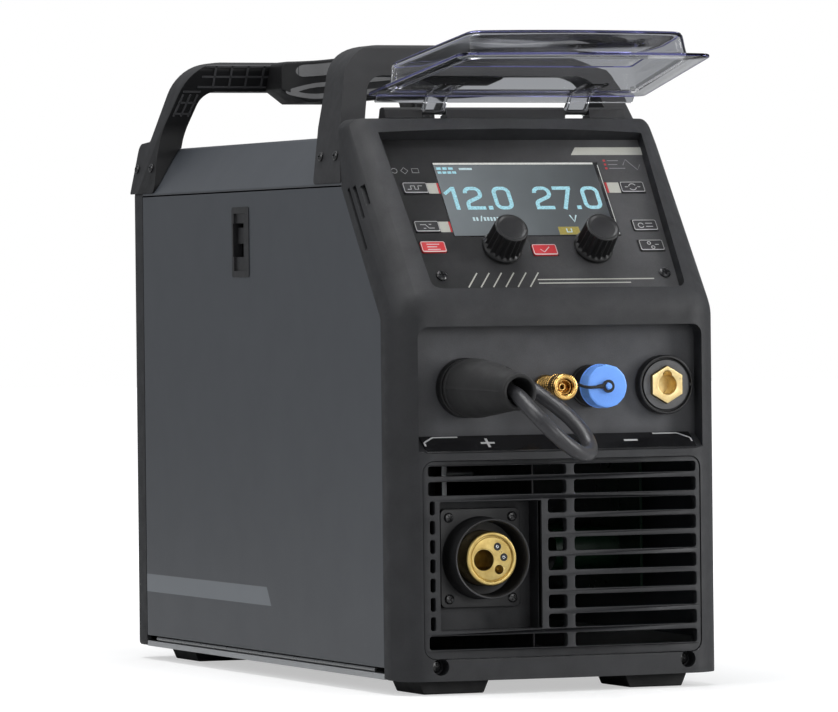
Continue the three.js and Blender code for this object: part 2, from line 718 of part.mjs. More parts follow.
// A turned knob about local Z: skirt, slight taper, dished top, and its shaft.
function knobBody() {
  const base = face.floor + 2.5;
  const profile = [
    [0, board.high + 2], [3, board.high + 2], [3, base], [13.6, base], [14, base + 1],
    [13.8, base + 2], [12.9, base + 4], [12, base + 21.4], [11, base + 23], [8.5, base + 23],
    [7, base + 21.8], [0, base + 21.2],
  ];
  const geometry = new THREE.LatheGeometry(profile.map(([r, d]) => new THREE.Vector2(r, d)), 18);
  geometry.rotateX(Math.PI / 2);
  return solidOf(geometry);
}

// ---------- connectors on the recess wall ----------

const neck = 15;
const collar = 20.2;
const collarDepth = 8;

function socketBody() {
  return turnedForward([
    [13.3, -22], [neck, -22], [neck, gap], [collar, gap], [collar, collarDepth - 0.8],
    [collar - 1, collarDepth], [18, collarDepth], [17.4, collarDepth - 1.6],
    [13.3, collarDepth - 1.6], [13.3, -22],
  ], 20);
}

function socketBrass() {
  const hexagon = new THREE.CylinderGeometry(12.9, 12.9, 16, 6);
  hexagon.translate(0, -1.4, 0);
  const hex = solidOf(hexagon);
  const bore = new THREE.CylinderGeometry(6.75, 6.75, 40, 20);
  bore.translate(0, -9, 0);
  const lobe = new THREE.CylinderGeometry(3.4, 3.4, 40, 12);
  lobe.translate(0, -9, 6.2);
  return hex.subtract(solidOf(bore)).subtract(solidOf(lobe));
}

const plug = { tip: 82, hole: 9.3, floor: 60, base: collarDepth + 1.6, bendX: 7, bendZ: -2 };

// The plug's rubber boot, whose outer end bends aside and down with its lead.
function polarityPlug() {
  const profile = [
    [0, -14], [6.4, -14], [6.4, plug.base], [19.2, plug.base], [20, 12], [20, 22], [19, 34], [16.4, 52],
    [13.4, 70], [12.4, plug.tip - 2], [11.2, plug.tip], [plug.hole, plug.tip], [plug.hole, plug.floor],
    [0, plug.floor],
  ];
  const points = profile.map(([radius, distance]) => new THREE.Vector2(radius, distance));
  const geometry = new THREE.LatheGeometry(points, 20);
  geometry.rotateX(Math.PI);
  const place = geometry.attributes.position;
  for (let index = 0; index < place.count; index += 1) {
    const along = Math.max(0, -place.getY(index) - plug.base) / (plug.tip - plug.base);
    place.setX(index, place.getX(index) + plug.bendX * along ** 2);
    place.setZ(index, place.getZ(index) + plug.bendZ * along ** 2);
  }
  return solidOf(geometry);
}

// The polarity lead's middle line, from its gland to the plug.
const leadRadius = 5.1;
const leadRoute = [
  [-36.5, -30.4, 210], [-36.3, -37, 209.9], [-34.8, -44, 208.2], [-31.6, -51.5, 204.8], [-27.6, -59, 200.4],
  [-23, -67, 195], [-18.4, -75.5, 189], [-14.4, -84, 182.3], [-11.8, -92.8, 175.2], [-11.6, -101.6, 168.6],
  [-14.6, -109.8, 164], [-20.4, -117, 162], [-28, -122.6, 163.4], [-36.4, -126.2, 167.8],
  [-44.6, -127.4, 173.8], [-51.4, -125.6, 180.6], [-56.2, -120.6, 187.2], [-58.6, -113, 192.6],
  [-59.3, -104.4, 197.2], [-59.8, -95.6, 201], [-61.2, -87, 203.6], [-62.6, -78.4, 205],
];

function tube(points, radius, steps, sides) {
  const path = new THREE.CatmullRomCurve3(points.map((point) => new THREE.Vector3(...point)));
  const section = new THREE.Shape();
  for (let side = 0; side < sides; side += 1) {
    const angle = (side / sides) * 2 * Math.PI;
    const x = radius * Math.cos(angle);
    const y = radius * Math.sin(angle);
    if (side === 0) section.moveTo(x, y);
    else section.lineTo(x, y);
  }
  section.closePath();
  return solidOf(new THREE.ExtrudeGeometry(section, { steps, extrudePath: path, curveSegments: 1 }));
}

function cableGland() {
  return turnedForward([
    [0, -18], [6, -18], [6, gap], [8.6, gap], [8.6, 5.5], [7.8, 7], [7.2, 7.2], [6.4, 14], [0, 14],
  ], 16);
}

function gasCoupler() {
  const rings = [
    [6.2, 6], [6.2, 8.6], [7.6, 9.2], [7.6, 11.6], [6.2, 12.2], [6.2, 14.6], [7.6, 15.2], [7.6, 17.6],
  ];
  return turnedForward([
    [0, -20], [5, -20], [5, gap], [8, gap], [8, 5], ...rings, [5.2, 18.2], [5.2, 34], [4.3, 34],
    [4.3, 25], [2.8, 25], [2.8, 31], [1.4, 31], [1.4, 14], [0, 14],
  ], 12);
}

function gasCouplerSleeve() {
  return turnedForward([
    [5.5, 22.4], [8.2, 22.4], [8.9, 23.6], [8.9, 36.2], [8.1, 37.4], [6.2, 37.4], [5.5, 36.4], [5.5, 22.4],
  ], 16);
}

function controlSocket() {
  return turnedForward([
    [0, -20], [10, -20], [10, gap], [14.4, gap], [14.4, 3], [13.4, 3], [13.4, 16.4], [11, 16.4], [11, 24],
    [9.6, 24], [9.6, 12], [0, 12],
  ], 16);
}

function controlSocketCap() {
  return turnedForward([
    [11.4, 17.2], [14.4, 17.2], [14.9, 19], [14.9, 28.5], [13.6, 31], [2.2, 31], [2.2, 34.4], [1.6, 35],
    [0, 35], [0, 28], [11.4, 28], [11.4, 17.2],
  ], 16);
}

// The cap's retaining strap: a ring round the cap's pin, run back beside the cap to the socket's flange.
function capStrap() {
  const thickness = 1.1;
  const ring = rod('y', 4.4, -1, 0, [0, 0], 16).subtract(rod('y', 2.6, -5, 5, [0, 0], 16));
  const run = tube([
    [-3.4, -0.5, 0], [-9, -0.8, -0.4], [-15.4, -0.2, -0.4], [-18.2, 3.4, 0.6], [-18.6, 12, 3],
    [-17.6, 21, 5.4], [-15.4, 28.4, 6], [-14.8, 31, 6],
  ], thickness, 12, 6);
  const body = union(ring, run);
  return body.translate([0, -32.3, 0]);
}

function torchFlange() {
  const plate = alongY(roundedBox(-29, 29, -33.4, 33.4, 4), -4.3, -gap, 3);
  const boss = rod('y', 27, -26, -4, [0, 0], 24).subtract(rod('y', 25, -40, -6, [0, 0], 24));
  const bore = rod('y', 18.8, -60, 60, [0, 0], 28);
  return union(plate, boss).subtract(bore);
}

function torchBrass() {
  const body = turnedForward([
    [0, -118], [6, -118], [6, -40], [10, -38], [10, -12], [18.4, -10], [18.4, 23.4], [17.6, 24.6],
    [15.8, 24.6], [15.4, 23.6], [0, 23.6],
  ], 20);
  const main = rod('y', 7.2, -60, -6, [-5.6, -0.8], 20);
  const liner = rod('y', 1.6, -60, 200, [-5.6, -0.8], 8);
  const gasHole = rod('y', 3.2, -60, -12, [5.4, -7.4], 12);
  const pins = [[4.4, 8], [9, 0.8]].map((at) => rod('y', 2.7, -60, -14, at, 12));
  return [main, liner, gasHole, ...pins].reduce((rest, hole) => rest.subtract(hole), body);
}

// ---------- inside the machine ----------

const wire = { x: torch.x, z: torch.z };
const roll = { y: 140, lowZ: torch.z - 15.6, highZ: torch.z + 12.6 };
const armPivot = { y: 176, z: 112 };
const leverPivot = { y: 112, z: 72 };
const fan = { x: 48, z: 120 };

function centreDivider() {
  let wall = block([dividerX, 6, 12.3], [dividerX + sheet, 470, 341]);
  wall = wall.add(block([dividerX, 6, 12.3], [dividerX + 16, 470, 12.3 + sheet]));
  wall = wall.subtract(rod('x', 23.5, -20, 20, [roll.y, roll.lowZ], 20));
  wall = wall.subtract(rod('x', 6.4, -20, 20, [spool.y, spool.z], 12));
  return wall.subtract(block([-20, 5, 240], [20, 76, 345]));
}

function feederPlate() {
  let plate = block([-34, 104, 52], [-30, 200, 152]);
  [[112, 60], [192, 60], [112, 144], [192, 144]].forEach((at) => {
    plate = plate.add(rod('x', 4, -31, dividerX - gap, at, 12));
  });
  plate = plate.add(rod('x', 3.5, -49.5, -33, [armPivot.y, armPivot.z], 12));
  plate = plate.add(rod('x', 3, -48, -33, [leverPivot.y, leverPivot.z], 12));
  const inlet = block([wire.x - 5, 182, wire.z - 6], [-33, 198, wire.z + 6])
    .subtract(rod('y', 1.5, 170, 210, [wire.x, wire.z], 8));
  return plate.add(inlet).subtract(rod('x', 4.6, -40, -20, [roll.y, roll.lowZ], 12));
}

function feedMotor() {
  const gearbox = rod('x', 22, -29.7, -4, [roll.y, roll.lowZ], 20);
  const can = rod('x', 18, -5, 46, [roll.y, roll.lowZ], 20);
  return union(gearbox, can);
}

function driveRoll() {
  const wheel = rod('x', 15, wire.x - 6, wire.x + 6, [roll.y, roll.lowZ], 24);
  const shaft = rod('x', 4, wire.x - 9, -30, [roll.y, roll.lowZ], 12);
  return union(wheel, shaft);
}

function pressureRoll() {
  return rod('x', 12, wire.x - 5, wire.x + 5, [roll.y, roll.highZ], 24)
    .subtract(rod('x', 3.3, -100, 0, [roll.y, roll.highZ], 12));
}

function pressureArm() {
  const side = alongX(outline([
    [armPivot.y + 8, armPivot.z - 8, 4], [armPivot.y + 8, armPivot.z + 8, 4],
    [122, armPivot.z + 12, 3], [122, armPivot.z + 2, 3], [roll.y, roll.highZ - 8, 4],
  ]), wire.x + 5.6, wire.x + 10.2);
  const axle = rod('x', 3, wire.x - 6, wire.x + 6, [roll.y, roll.highZ], 12);
  return union(side, axle).subtract(rod('x', 3.8, -100, 0, [armPivot.y, armPivot.z], 12));
}

function tensionLever() {
  const stemX = wire.x + 10.8;
  const stem = rod('z', 3, leverPivot.z, 146, [stemX, leverPivot.y], 10);
  const knob = rod('z', 8, 130, 152, [stemX, leverPivot.y], 14);
  const eye = rod('x', 6, stemX - 2.2, stemX + 2.2, [leverPivot.y, leverPivot.z], 14);
  return union(stem, knob, eye).subtract(rod('x', 3.3, -100, 0, [leverPivot.y, leverPivot.z], 12));
}

function spoolHub() {
  const barrel = rod('x', 25, -70, dividerX - 4, [spool.y, spool.z], 24);
  const disc = rod('x', 42, dividerX - 4.4, dividerX - 0.6, [spool.y, spool.z], 28);
  const nut = rod('x', 31, -78, -70, [spool.y, spool.z], 6);
  const axle = rod('x', 6, dividerX - 1, dividerX + 8, [spool.y, spool.z], 12);
  return union(barrel, disc, nut, axle);
}

function powerBoard() {
  const laminate = block([96, 60, 60], [98, 400, 300]);
  const sinkBase = block([88, 80, 190], [96.1, 380, 280]);
  const fins = [];
  for (let fin = 0; fin < 6; fin += 1) {
    fins.push(block([40, 80, 192 + fin * 16], [89, 380, 195 + fin * 16]));
  }
  const cans = [[110, 90], [150, 90], [190, 90], [230, 90]].map((at) => rod('x', 15, 48, 97, at, 16));
  return union(laminate, sinkBase, ...fins, ...cans);
}

function transformer() {
  const core = block([12, 300, 12.8], [80, 390, 90]);
  const windows = [[320, 335], [355, 370]].map(([from, to]) => block([0, from, 30], [90, to, 72]));
  const coils = block([6, 322, 32], [86, 368, 70]);
  return union(windows.reduce((rest, hole) => rest.subtract(hole), core), coils);
}

function fanFrame() {
  const half = 59;
  const depth = [476, 501];
  let frame = block([fan.x - half, depth[0], fan.z - half], [fan.x + half, depth[1], fan.z + half]);
  frame = frame.subtract(rod('y', 56, 470, 510, [fan.x, fan.z], 32));
  const mount = rod('y', 21, 498.4, 501, [fan.x, fan.z], 20);
  const pin = rod('y', 3, 486, 499, [fan.x, fan.z], 10);
  const struts = [
    block([fan.x - 57, 498.4, fan.z - 3], [fan.x + 57, 501, fan.z + 3]),
    block([fan.x - 3, 498.4, fan.z - 57], [fan.x + 3, 501, fan.z + 57]),
  ];
  return union(frame, mount, pin, ...struts);
}

function fanRotor() {
  const hub = rod('y', 20, 479, 497.6, [0, 0], 20);
  const blades = [];
  for (let blade = 0; blade < 7; blade += 1) {
    const vane = new THREE.BoxGeometry(36, 1.6, 20);
    vane.rotateX(-40 * degree);
    vane.translate(36, 488.5, 0);
    vane.rotateY((blade / 7) * 2 * Math.PI);
    blades.push(solidOf(vane));
  }
  const body = union(hub, ...blades).subtract(rod('y', 3.4, 470, 497.7, [0, 0], 10));
  return body.translate([fan.x, 0, fan.z]);
}

function rearSwitch() {
  return alongX(outline([
    [499, 264.6], [499, 285.4], [507.6, 286.2, 1], [508.2, 276, 1], [505, 263.4, 1],
  ]), -71.3, -38.7);
}

function turnedBack(profile, segments) {
  const points = profile.map(([radius, distance]) => new THREE.Vector2(radius, distance));
  return solidOf(new THREE.LatheGeometry(points, segments));
}

function mainsGland() {
  return turnedBack([
    [5, -14], [9, -14], [9, gap], [13, gap], [13, 5], [12, 6], [11.4, 12], [8.6, 17], [5, 17], [5, -14],
  ], 16);
}

function gasInlet() {
  return turnedBack([
    [2, -16], [6, -16], [6, gap], [9, gap], [9, 5], [5, 5.2], [4.2, 9], [5, 9.2], [4.2, 13], [5, 13.2],
    [4, 17.5], [2, 17.5], [2, -16],
  ], 10);
}

function foot(side, low, high) {
  const ends = side < 0 ? [-101, -49] : [50, 97];
  return alongY(outline([
    [ends[0] + 4, 0, 0], [ends[1] - 4, 0, 0], [ends[1], chassisBottom - gap, 0],
    [ends[0], chassisBottom - gap, 0],
  ]), low, high);
}

// ---------- assembly ----------

piece('base_chassis', baseChassis(), zincSheet);
[['front', -15, 34], ['rear', 428, 478]].forEach(([end, low, high]) => {
  piece(`foot_${end}_left`, foot(-1, low, high), blackRubber);
  piece(`foot_${end}_right`, foot(1, low, high), blackRubber);
});
piece('centre_divider', centreDivider(), zincSheet);
piece('top_cover', topCover(), bluePaint);
piece('right_side_panel', rightSidePanel(), bluePaint);
piece('front_bezel', frontBezel(), blackMoulding);
piece('front_grille', frontGrille(), blackMoulding);
piece('rear_bezel', rearBezel(), blackMoulding);
piece('wire_door', wireDoor(), bluePaint);
piece('door_hinge_pin', rod('y', hinge.radius, 20, 460, [hinge.x, hinge.z], 10), darkSteel);
piece('door_latch_frame', doorLatchFrame(), satinBlack);
piece('door_latch_slider', doorLatchSlider(), satinBlack);
piece('front_hoop', handleHoop(frontHoopSide), blackMoulding);
piece('rear_hoop', handleHoop(rearHoopSide), blackMoulding);
piece('centre_grip', centreGrip(), blackMoulding);
piece('hinge_bar', hingeBar(), satinBlack);
piece('clear_cover', clearCoverOpen(), clearPlastic);

piece('control_overlay', controlOverlay(), satinBlack, controlFace);
piece('display_module', displayModule(), glassFront, controlFace);
piece('control_board', controlBoard(), greenBoard, controlFace);
[['knob_left', knobs.left], ['knob_right', knobs.right]].forEach(([name, x]) => {
  piece(name, knobBody(), satinBlack, controlFace).position.set(x, knobS, 0);
});
keys.forEach(([name, x, s, material]) => {
  piece(name, keyPad(), material, controlFace).position.set(x, s, 0);
});

const strip = alongX(outline([
  [recess.back - 0.4, recess.shelfBack + 0.1], [recess.back - 0.4, recess.shelfBack + 1.3],
  [-30.8, recess.bottom + 1.4], [-30.8, recess.bottom + 0.25],
]), -99, 99);
piece('polarity_strip', strip, satinBlack);

const onWall = (mesh, x, z) => mesh.position.set(x, recess.back, z);
onWall(piece('negative_socket', socketBody(), satinBlack), minusX, socketHeight);
onWall(piece('negative_socket_brass', socketBrass(), brass), minusX, socketHeight);
onWall(piece('positive_socket', socketBody(), satinBlack), plusX, socketHeight);
onWall(piece('polarity_plug', polarityPlug(), blackRubber), plusX, socketHeight);
piece('polarity_cable', tube(leadRoute, leadRadius, 34, 8), blackRubber);
onWall(piece('cable_gland', cableGland(), satinBlack), glandX, glandHeight);
onWall(piece('gas_coupler', gasCoupler(), brass), gasX, socketHeight);
onWall(piece('gas_coupler_sleeve', gasCouplerSleeve(), brass), gasX, socketHeight);
onWall(piece('control_socket', controlSocket(), satinBlack), capX, socketHeight);
onWall(piece('control_socket_cap', controlSocketCap(), blueCap), capX, socketHeight);
onWall(piece('cap_strap', capStrap(), blackRubber), capX, socketHeight);
piece('torch_flange', torchFlange(), satinBlack).position.set(torch.x, pocket.back, torch.z);
piece('torch_brass', torchBrass(), brass).position.set(torch.x, pocket.back, torch.z);

piece('feeder_plate', feederPlate(), zincSheet);
piece('feed_motor', feedMotor(), darkSteel);
piece('drive_roll', driveRoll(), darkSteel);
piece('pressure_arm', pressureArm(), darkSteel);
piece('pressure_roll', pressureRoll(), darkSteel);
piece('tension_lever', tensionLever(), satinBlack);
piece('spool_hub', spoolHub(), satinBlack);
piece('power_board', powerBoard(), greenBoard);
piece('transformer', transformer(), darkSteel);
piece('fan_frame', fanFrame(), satinBlack);
piece('fan_rotor', fanRotor(), satinBlack);
piece('rear_switch', rearSwitch(), redKey);
piece('mains_gland', mainsGland(), satinBlack).position.set(-60, rearEnd, 200);
piece('gas_inlet', gasInlet(), brass).position.set(-60, rearEnd, 90);

// The machine stands on its feet, centred on the origin without the polarity lead and its plug.
const flexible = ['polarity_cable', 'polarity_plug'];
const extent = new THREE.Box3();
machine.updateMatrixWorld(true);
machine.traverse((node) => {
  if (node.isMesh && !flexible.includes(node.name)) extent.expandByObject(node, true);
});
machine.position.y = -(extent.min.y + extent.max.y) / 2;

export default machine;
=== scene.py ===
"""Looks of a portable inverter welding machine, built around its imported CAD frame."""

import math

import bmesh
import bpy
from mathutils import Matrix, Vector


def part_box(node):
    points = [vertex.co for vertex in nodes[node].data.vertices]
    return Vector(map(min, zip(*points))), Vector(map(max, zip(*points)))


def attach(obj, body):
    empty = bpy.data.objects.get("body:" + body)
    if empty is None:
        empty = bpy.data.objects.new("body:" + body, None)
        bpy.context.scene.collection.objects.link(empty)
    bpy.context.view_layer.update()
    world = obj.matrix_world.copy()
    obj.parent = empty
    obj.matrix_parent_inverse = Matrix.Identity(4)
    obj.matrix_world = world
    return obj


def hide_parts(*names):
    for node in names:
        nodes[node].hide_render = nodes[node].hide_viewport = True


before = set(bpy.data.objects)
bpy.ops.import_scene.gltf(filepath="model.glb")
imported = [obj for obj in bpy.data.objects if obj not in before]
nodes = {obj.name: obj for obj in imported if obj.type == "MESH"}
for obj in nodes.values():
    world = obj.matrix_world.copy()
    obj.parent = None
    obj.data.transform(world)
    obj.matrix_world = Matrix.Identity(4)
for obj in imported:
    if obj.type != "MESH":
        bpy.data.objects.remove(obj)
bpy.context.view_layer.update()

MM = 0.001

# ---------- the frame's places, in the row's metres ----------

joint_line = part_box("base_chassis")[0].y - 1 * MM
recess_wall = joint_line - 16 * MM
pocket_wall = joint_line - 11 * MM
crease_height = 252 * MM
slope_angle = math.radians(38)
slope_up = Vector((0, math.sin(slope_angle), math.cos(slope_angle)))
slope_out = Vector((0, -math.cos(slope_angle), math.sin(slope_angle)))
front_out = Vector((0, -1, 0))


def middle(node):
    low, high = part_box(node)
    return (low + high) / 2


def facing(origin, forward, up=(0, 0, 1)):
    """A frame drawn in millimetres: X right, Y up and Z forward as seen by someone it faces."""
    z_axis = Vector(forward).normalized()
    x_axis = Vector(up).cross(z_axis).normalized()
    y_axis = z_axis.cross(x_axis)
    basis = Matrix((x_axis, y_axis, z_axis)).transposed().to_4x4()
    return Matrix.Translation(origin) @ basis @ Matrix.Scale(MM, 4)


def on_wall(node, wall=recess_wall):
    """The frame of a connector: its CAD node's centre, on the wall that it is fixed to."""
    centre = middle(node)
    return facing((centre.x, wall, centre.z), front_out)


slope = facing((0, joint_line, crease_height), slope_out, slope_up)


def on_slope(x, s, d=0.0):
    return slope @ Matrix.Translation((x, s, d))


# ---------- camera ----------


def make_camera():
    yaw, pitch, roll = math.radians(21.84), math.radians(0.58), math.radians(-0.62)
    forward = Vector((math.sin(yaw) * math.cos(pitch), math.cos(yaw) * math.cos(pitch), -math.sin(pitch)))
    level = Vector((math.cos(yaw), -math.sin(yaw), 0))
    above = level.cross(forward)
    right = math.cos(roll) * level + math.sin(roll) * above
    up = math.cos(roll) * above - math.sin(roll) * level
    data = bpy.data.cameras.new("camera")
    data.sensor_width = 36
    data.lens = 269.5
    data.clip_end = 100
    camera = bpy.data.objects.new("camera", data)
    place = Matrix((right, up, -forward)).transposed().to_4x4()
    place.translation = (-1.6616, joint_line - 3.9175, 0.2699)
    camera.matrix_world = place
    bpy.context.scene.collection.objects.link(camera)
    bpy.context.scene.camera = camera


make_camera()


def link(name, data):
    thing = bpy.data.objects.new(name, data)
    bpy.context.scene.collection.objects.link(thing)
    return thing


# ---------- polarity lead: its route, as laid out in the CAD, in millimetres from the joint line ----------

lead_diameter = 10.2 * MM
lead_route = [
    (-36.5, -30.4, 210), (-36.3, -37, 209.9), (-34.8, -44, 208.2), (-31.6, -51.5, 204.8), (-27.6, -59, 200.4),
    (-23, -67, 195), (-18.4, -75.5, 189), (-14.4, -84, 182.3), (-11.8, -92.8, 175.2), (-11.6, -101.6, 168.6),
    (-14.6, -109.8, 164), (-20.4, -117, 162), (-28, -122.6, 163.4), (-36.4, -126.2, 167.8),
    (-44.6, -127.4, 173.8), (-51.4, -125.6, 180.6), (-56.2, -120.6, 187.2), (-58.6, -113, 192.6),
    (-59.3, -104.4, 197.2), (-59.8, -95.6, 201), (-61.2, -87, 203.6), (-62.6, -78.4, 205),
]


def polarity_lead():
    """The free lead from its gland to the plug, as a round curve through its route."""
    points = [Vector((x * MM, joint_line + y * MM, z * MM)) for x, y, z in lead_route]
    curve = bpy.data.curves.new("polarity_lead", "CURVE")
    curve.dimensions = "3D"
    curve.bevel_depth = 1.0
    curve.bevel_resolution = 8
    curve.resolution_u = 10
    curve.use_fill_caps = True
    spline = curve.splines.new("BEZIER")
    spline.bezier_points.add(len(points) - 1)
    for knot, point in zip(spline.bezier_points, points):
        knot.co = point
        knot.handle_left_type = "AUTO"
        knot.handle_right_type = "AUTO"
        knot.radius = lead_diameter / 2
    return link("polarity_lead", curve), points


lead, lead_points = polarity_lead()
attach(lead, "enclosure")
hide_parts("polarity_cable")

# ---------- mesh helpers ----------


def piece(name, mesh, material, body="enclosure", stands_for=(), sharp=32):
    """Links a mesh as a piece that rides on a CAD body, smooth apart from its sharp edges."""
    mesh.materials.clear()
    mesh.materials.append(material)
    mesh.shade_smooth()
    mesh.set_sharp_from_angle(angle=math.radians(sharp))
    thing = link(name, mesh)
    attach(thing, body)
    if stands_for:
        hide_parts(*stands_for)
    return thing


def merged(mesh, distance=1e-4):
    work = bmesh.new()
    work.from_mesh(mesh)
    bmesh.ops.remove_doubles(work, verts=work.verts, dist=distance)
    bmesh.ops.recalc_face_normals(work, faces=work.faces)
    work.to_mesh(mesh)
    work.free()
    return mesh


def joined(*meshes):
    work = bmesh.new()
    for mesh in meshes:
        work.from_mesh(mesh)
    total = bpy.data.meshes.new("joined")
    work.to_mesh(total)
    work.free()
    return total


def placed(mesh, matrix):
    mesh.transform(matrix)
    if matrix.determinant() < 0:
        mesh.flip_normals()
    return mesh


def evaluated(thing):
    """The mesh of an object with its modifiers applied; the object is removed."""
    bpy.context.view_layer.update()
    graph = bpy.context.evaluated_depsgraph_get()
    mesh = bpy.data.meshes.new_from_object(thing.evaluated_get(graph))
    bpy.data.objects.remove(thing)
    return mesh


def rounded(corners, steps=6):
    """Points of a closed outline whose corners (x, y, radius) are rounded by arcs."""
    points = []
    count = len(corners)
    for index, (x, y, radius) in enumerate(corners):
        here = Vector((x, y))
        if radius <= 0:
            points.append(here)
            continue
        back = (Vector(corners[index - 1][:2]) - here).normalized()
        ahead = (Vector(corners[(index + 1) % count][:2]) - here).normalized()
        half = math.acos(max(-1, min(1, back.dot(ahead)))) / 2
        centre = here + (back + ahead).normalized() * radius / math.sin(half)
        start = here + back * radius / math.tan(half) - centre
        turn = math.pi - 2 * half
        side = 1 if back.x * ahead.y - back.y * ahead.x < 0 else -1
        for step in range(steps + 1):
            angle = side * turn * step / steps
            spun = Vector((start.x * math.cos(angle) - start.y * math.sin(angle),
                           start.x * math.sin(angle) + start.y * math.cos(angle)))
            points.append(centre + spun)
    return points


def rounded_box(x0, x1, y0, y1, radius, steps=6):
    return rounded([(x0, y0, radius), (x1, y0, radius), (x1, y1, radius), (x0, y1, radius)], steps)


def ring(x, y, radius, count=48):
    turns = [2 * math.pi * i / count for i in range(count)]
    return [Vector((x + radius * math.cos(turn), y + radius * math.sin(turn))) for turn in turns]


def divided(points, longest):
    """The outline with its long straight stretches cut into steps no longer than longest."""
    result = []
    for index, point in enumerate(points):
        after = points[(index + 1) % len(points)]
        parts = max(1, math.ceil((after - point).length / longest))
        result += [point.lerp(after, part / parts) for part in range(parts)]
    return result


def plate(outlines, low, high, bevel=0.0, rounds=2):
    """A flat piece between two heights, from one outline and any holes, with rounded rims."""
    curve = bpy.data.curves.new("outline", "CURVE")
    curve.dimensions = "2D"
    curve.fill_mode = "BOTH"
    for points in outlines:
        spline = curve.splines.new("POLY")
        spline.points.add(len(points) - 1)
        for knot, (x, y) in zip(spline.points, points):
            knot.co = (x, y, 0, 1)
        spline.use_cyclic_u = True
    curve.extrude = (high - low) / 2 - bevel
    curve.bevel_depth = bevel
    curve.bevel_resolution = rounds
    curve.offset = -bevel
    mesh = evaluated(link("outline", curve))
    mesh.transform(Matrix.Translation((0, 0, (low + high) / 2)))
    return merged(mesh)


def filleted(profile, radius, steps=3):
    """A lathe profile (radius, height) with each inner corner rounded off."""
    result = [profile[0]]
    for before, here, after in zip(profile, profile[1:], profile[2:]):
        a, b, c = Vector(before), Vector(here), Vector(after)
        reach = min(radius, (a - b).length * 0.45, (c - b).length * 0.45)
        start, end = b + (a - b).normalized() * reach, b + (c - b).normalized() * reach
        for step in range(steps + 1):
            t = step / steps
            point = start * (1 - t) ** 2 + b * 2 * t * (1 - t) + end * t ** 2
            result.append((point.x, point.y))
    return result + [profile[-1]]


def turned(profile, count=72, fillet=0.3, shape=None):
    """A profile (radius, height) turned about Z; shape(angle, radius, height) may change a radius."""
    points = filleted(profile, fillet) if fillet else profile
    work = bmesh.new()
    rows = []
    for radius, height in points:
        if radius < 1e-6:
            rows.append([work.verts.new((0, 0, height))])
            continue
        row = []
        for step in range(count):
            angle = 2 * math.pi * step / count
            reach = shape(angle, radius, height) if shape else radius
            row.append(work.verts.new((reach * math.cos(angle), reach * math.sin(angle), height)))
        rows.append(row)
    closed = len(rows[0]) > 1
    pairs = list(zip(rows, rows[1:])) + ([(rows[-1], rows[0])] if closed else [])
    for lower, upper in pairs:
        for step in range(count):
            after = (step + 1) % count
            quad = [lower[step % len(lower)], lower[after % len(lower)],
                    upper[after % len(upper)], upper[step % len(upper)]]
            corners = list(dict.fromkeys(quad))
            if len(corners) > 2:
                work.faces.new(corners)
    mesh = bpy.data.meshes.new("turned")
    work.to_mesh(mesh)
    work.free()
    return merged(mesh, 1e-5)


def brick(low, high, bevel=0.4, segments=2):
    """A box between two corners with rounded edges."""
    work = bmesh.new()
    size = [b - a for a, b in zip(low, high)]
    centre = [(a + b) / 2 for a, b in zip(low, high)]
    bmesh.ops.create_cube(work, size=1, matrix=Matrix.Translation(centre) @ Matrix.Diagonal((*size, 1)))
    bmesh.ops.bevel(work, geom=work.edges[:], offset=min(bevel, min(size) * 0.45), segments=segments,
                    profile=0.5, affect="EDGES")
    mesh = bpy.data.meshes.new("brick")
    work.to_mesh(mesh)
    work.free()
    return mesh


def cut(mesh, *tools):
    """The mesh with other meshes cut out of it."""
    thing = link("cut", mesh)
    cutters = [link("tool", tool) for tool in tools]
    for cutter in cutters:
        modifier = thing.modifiers.new("cut", "BOOLEAN")
        modifier.object = cutter
        modifier.solver = "EXACT"
    result = evaluated(thing)
    for cutter in cutters:
        bpy.data.objects.remove(cutter)
    return result


# ---------- materials ----------


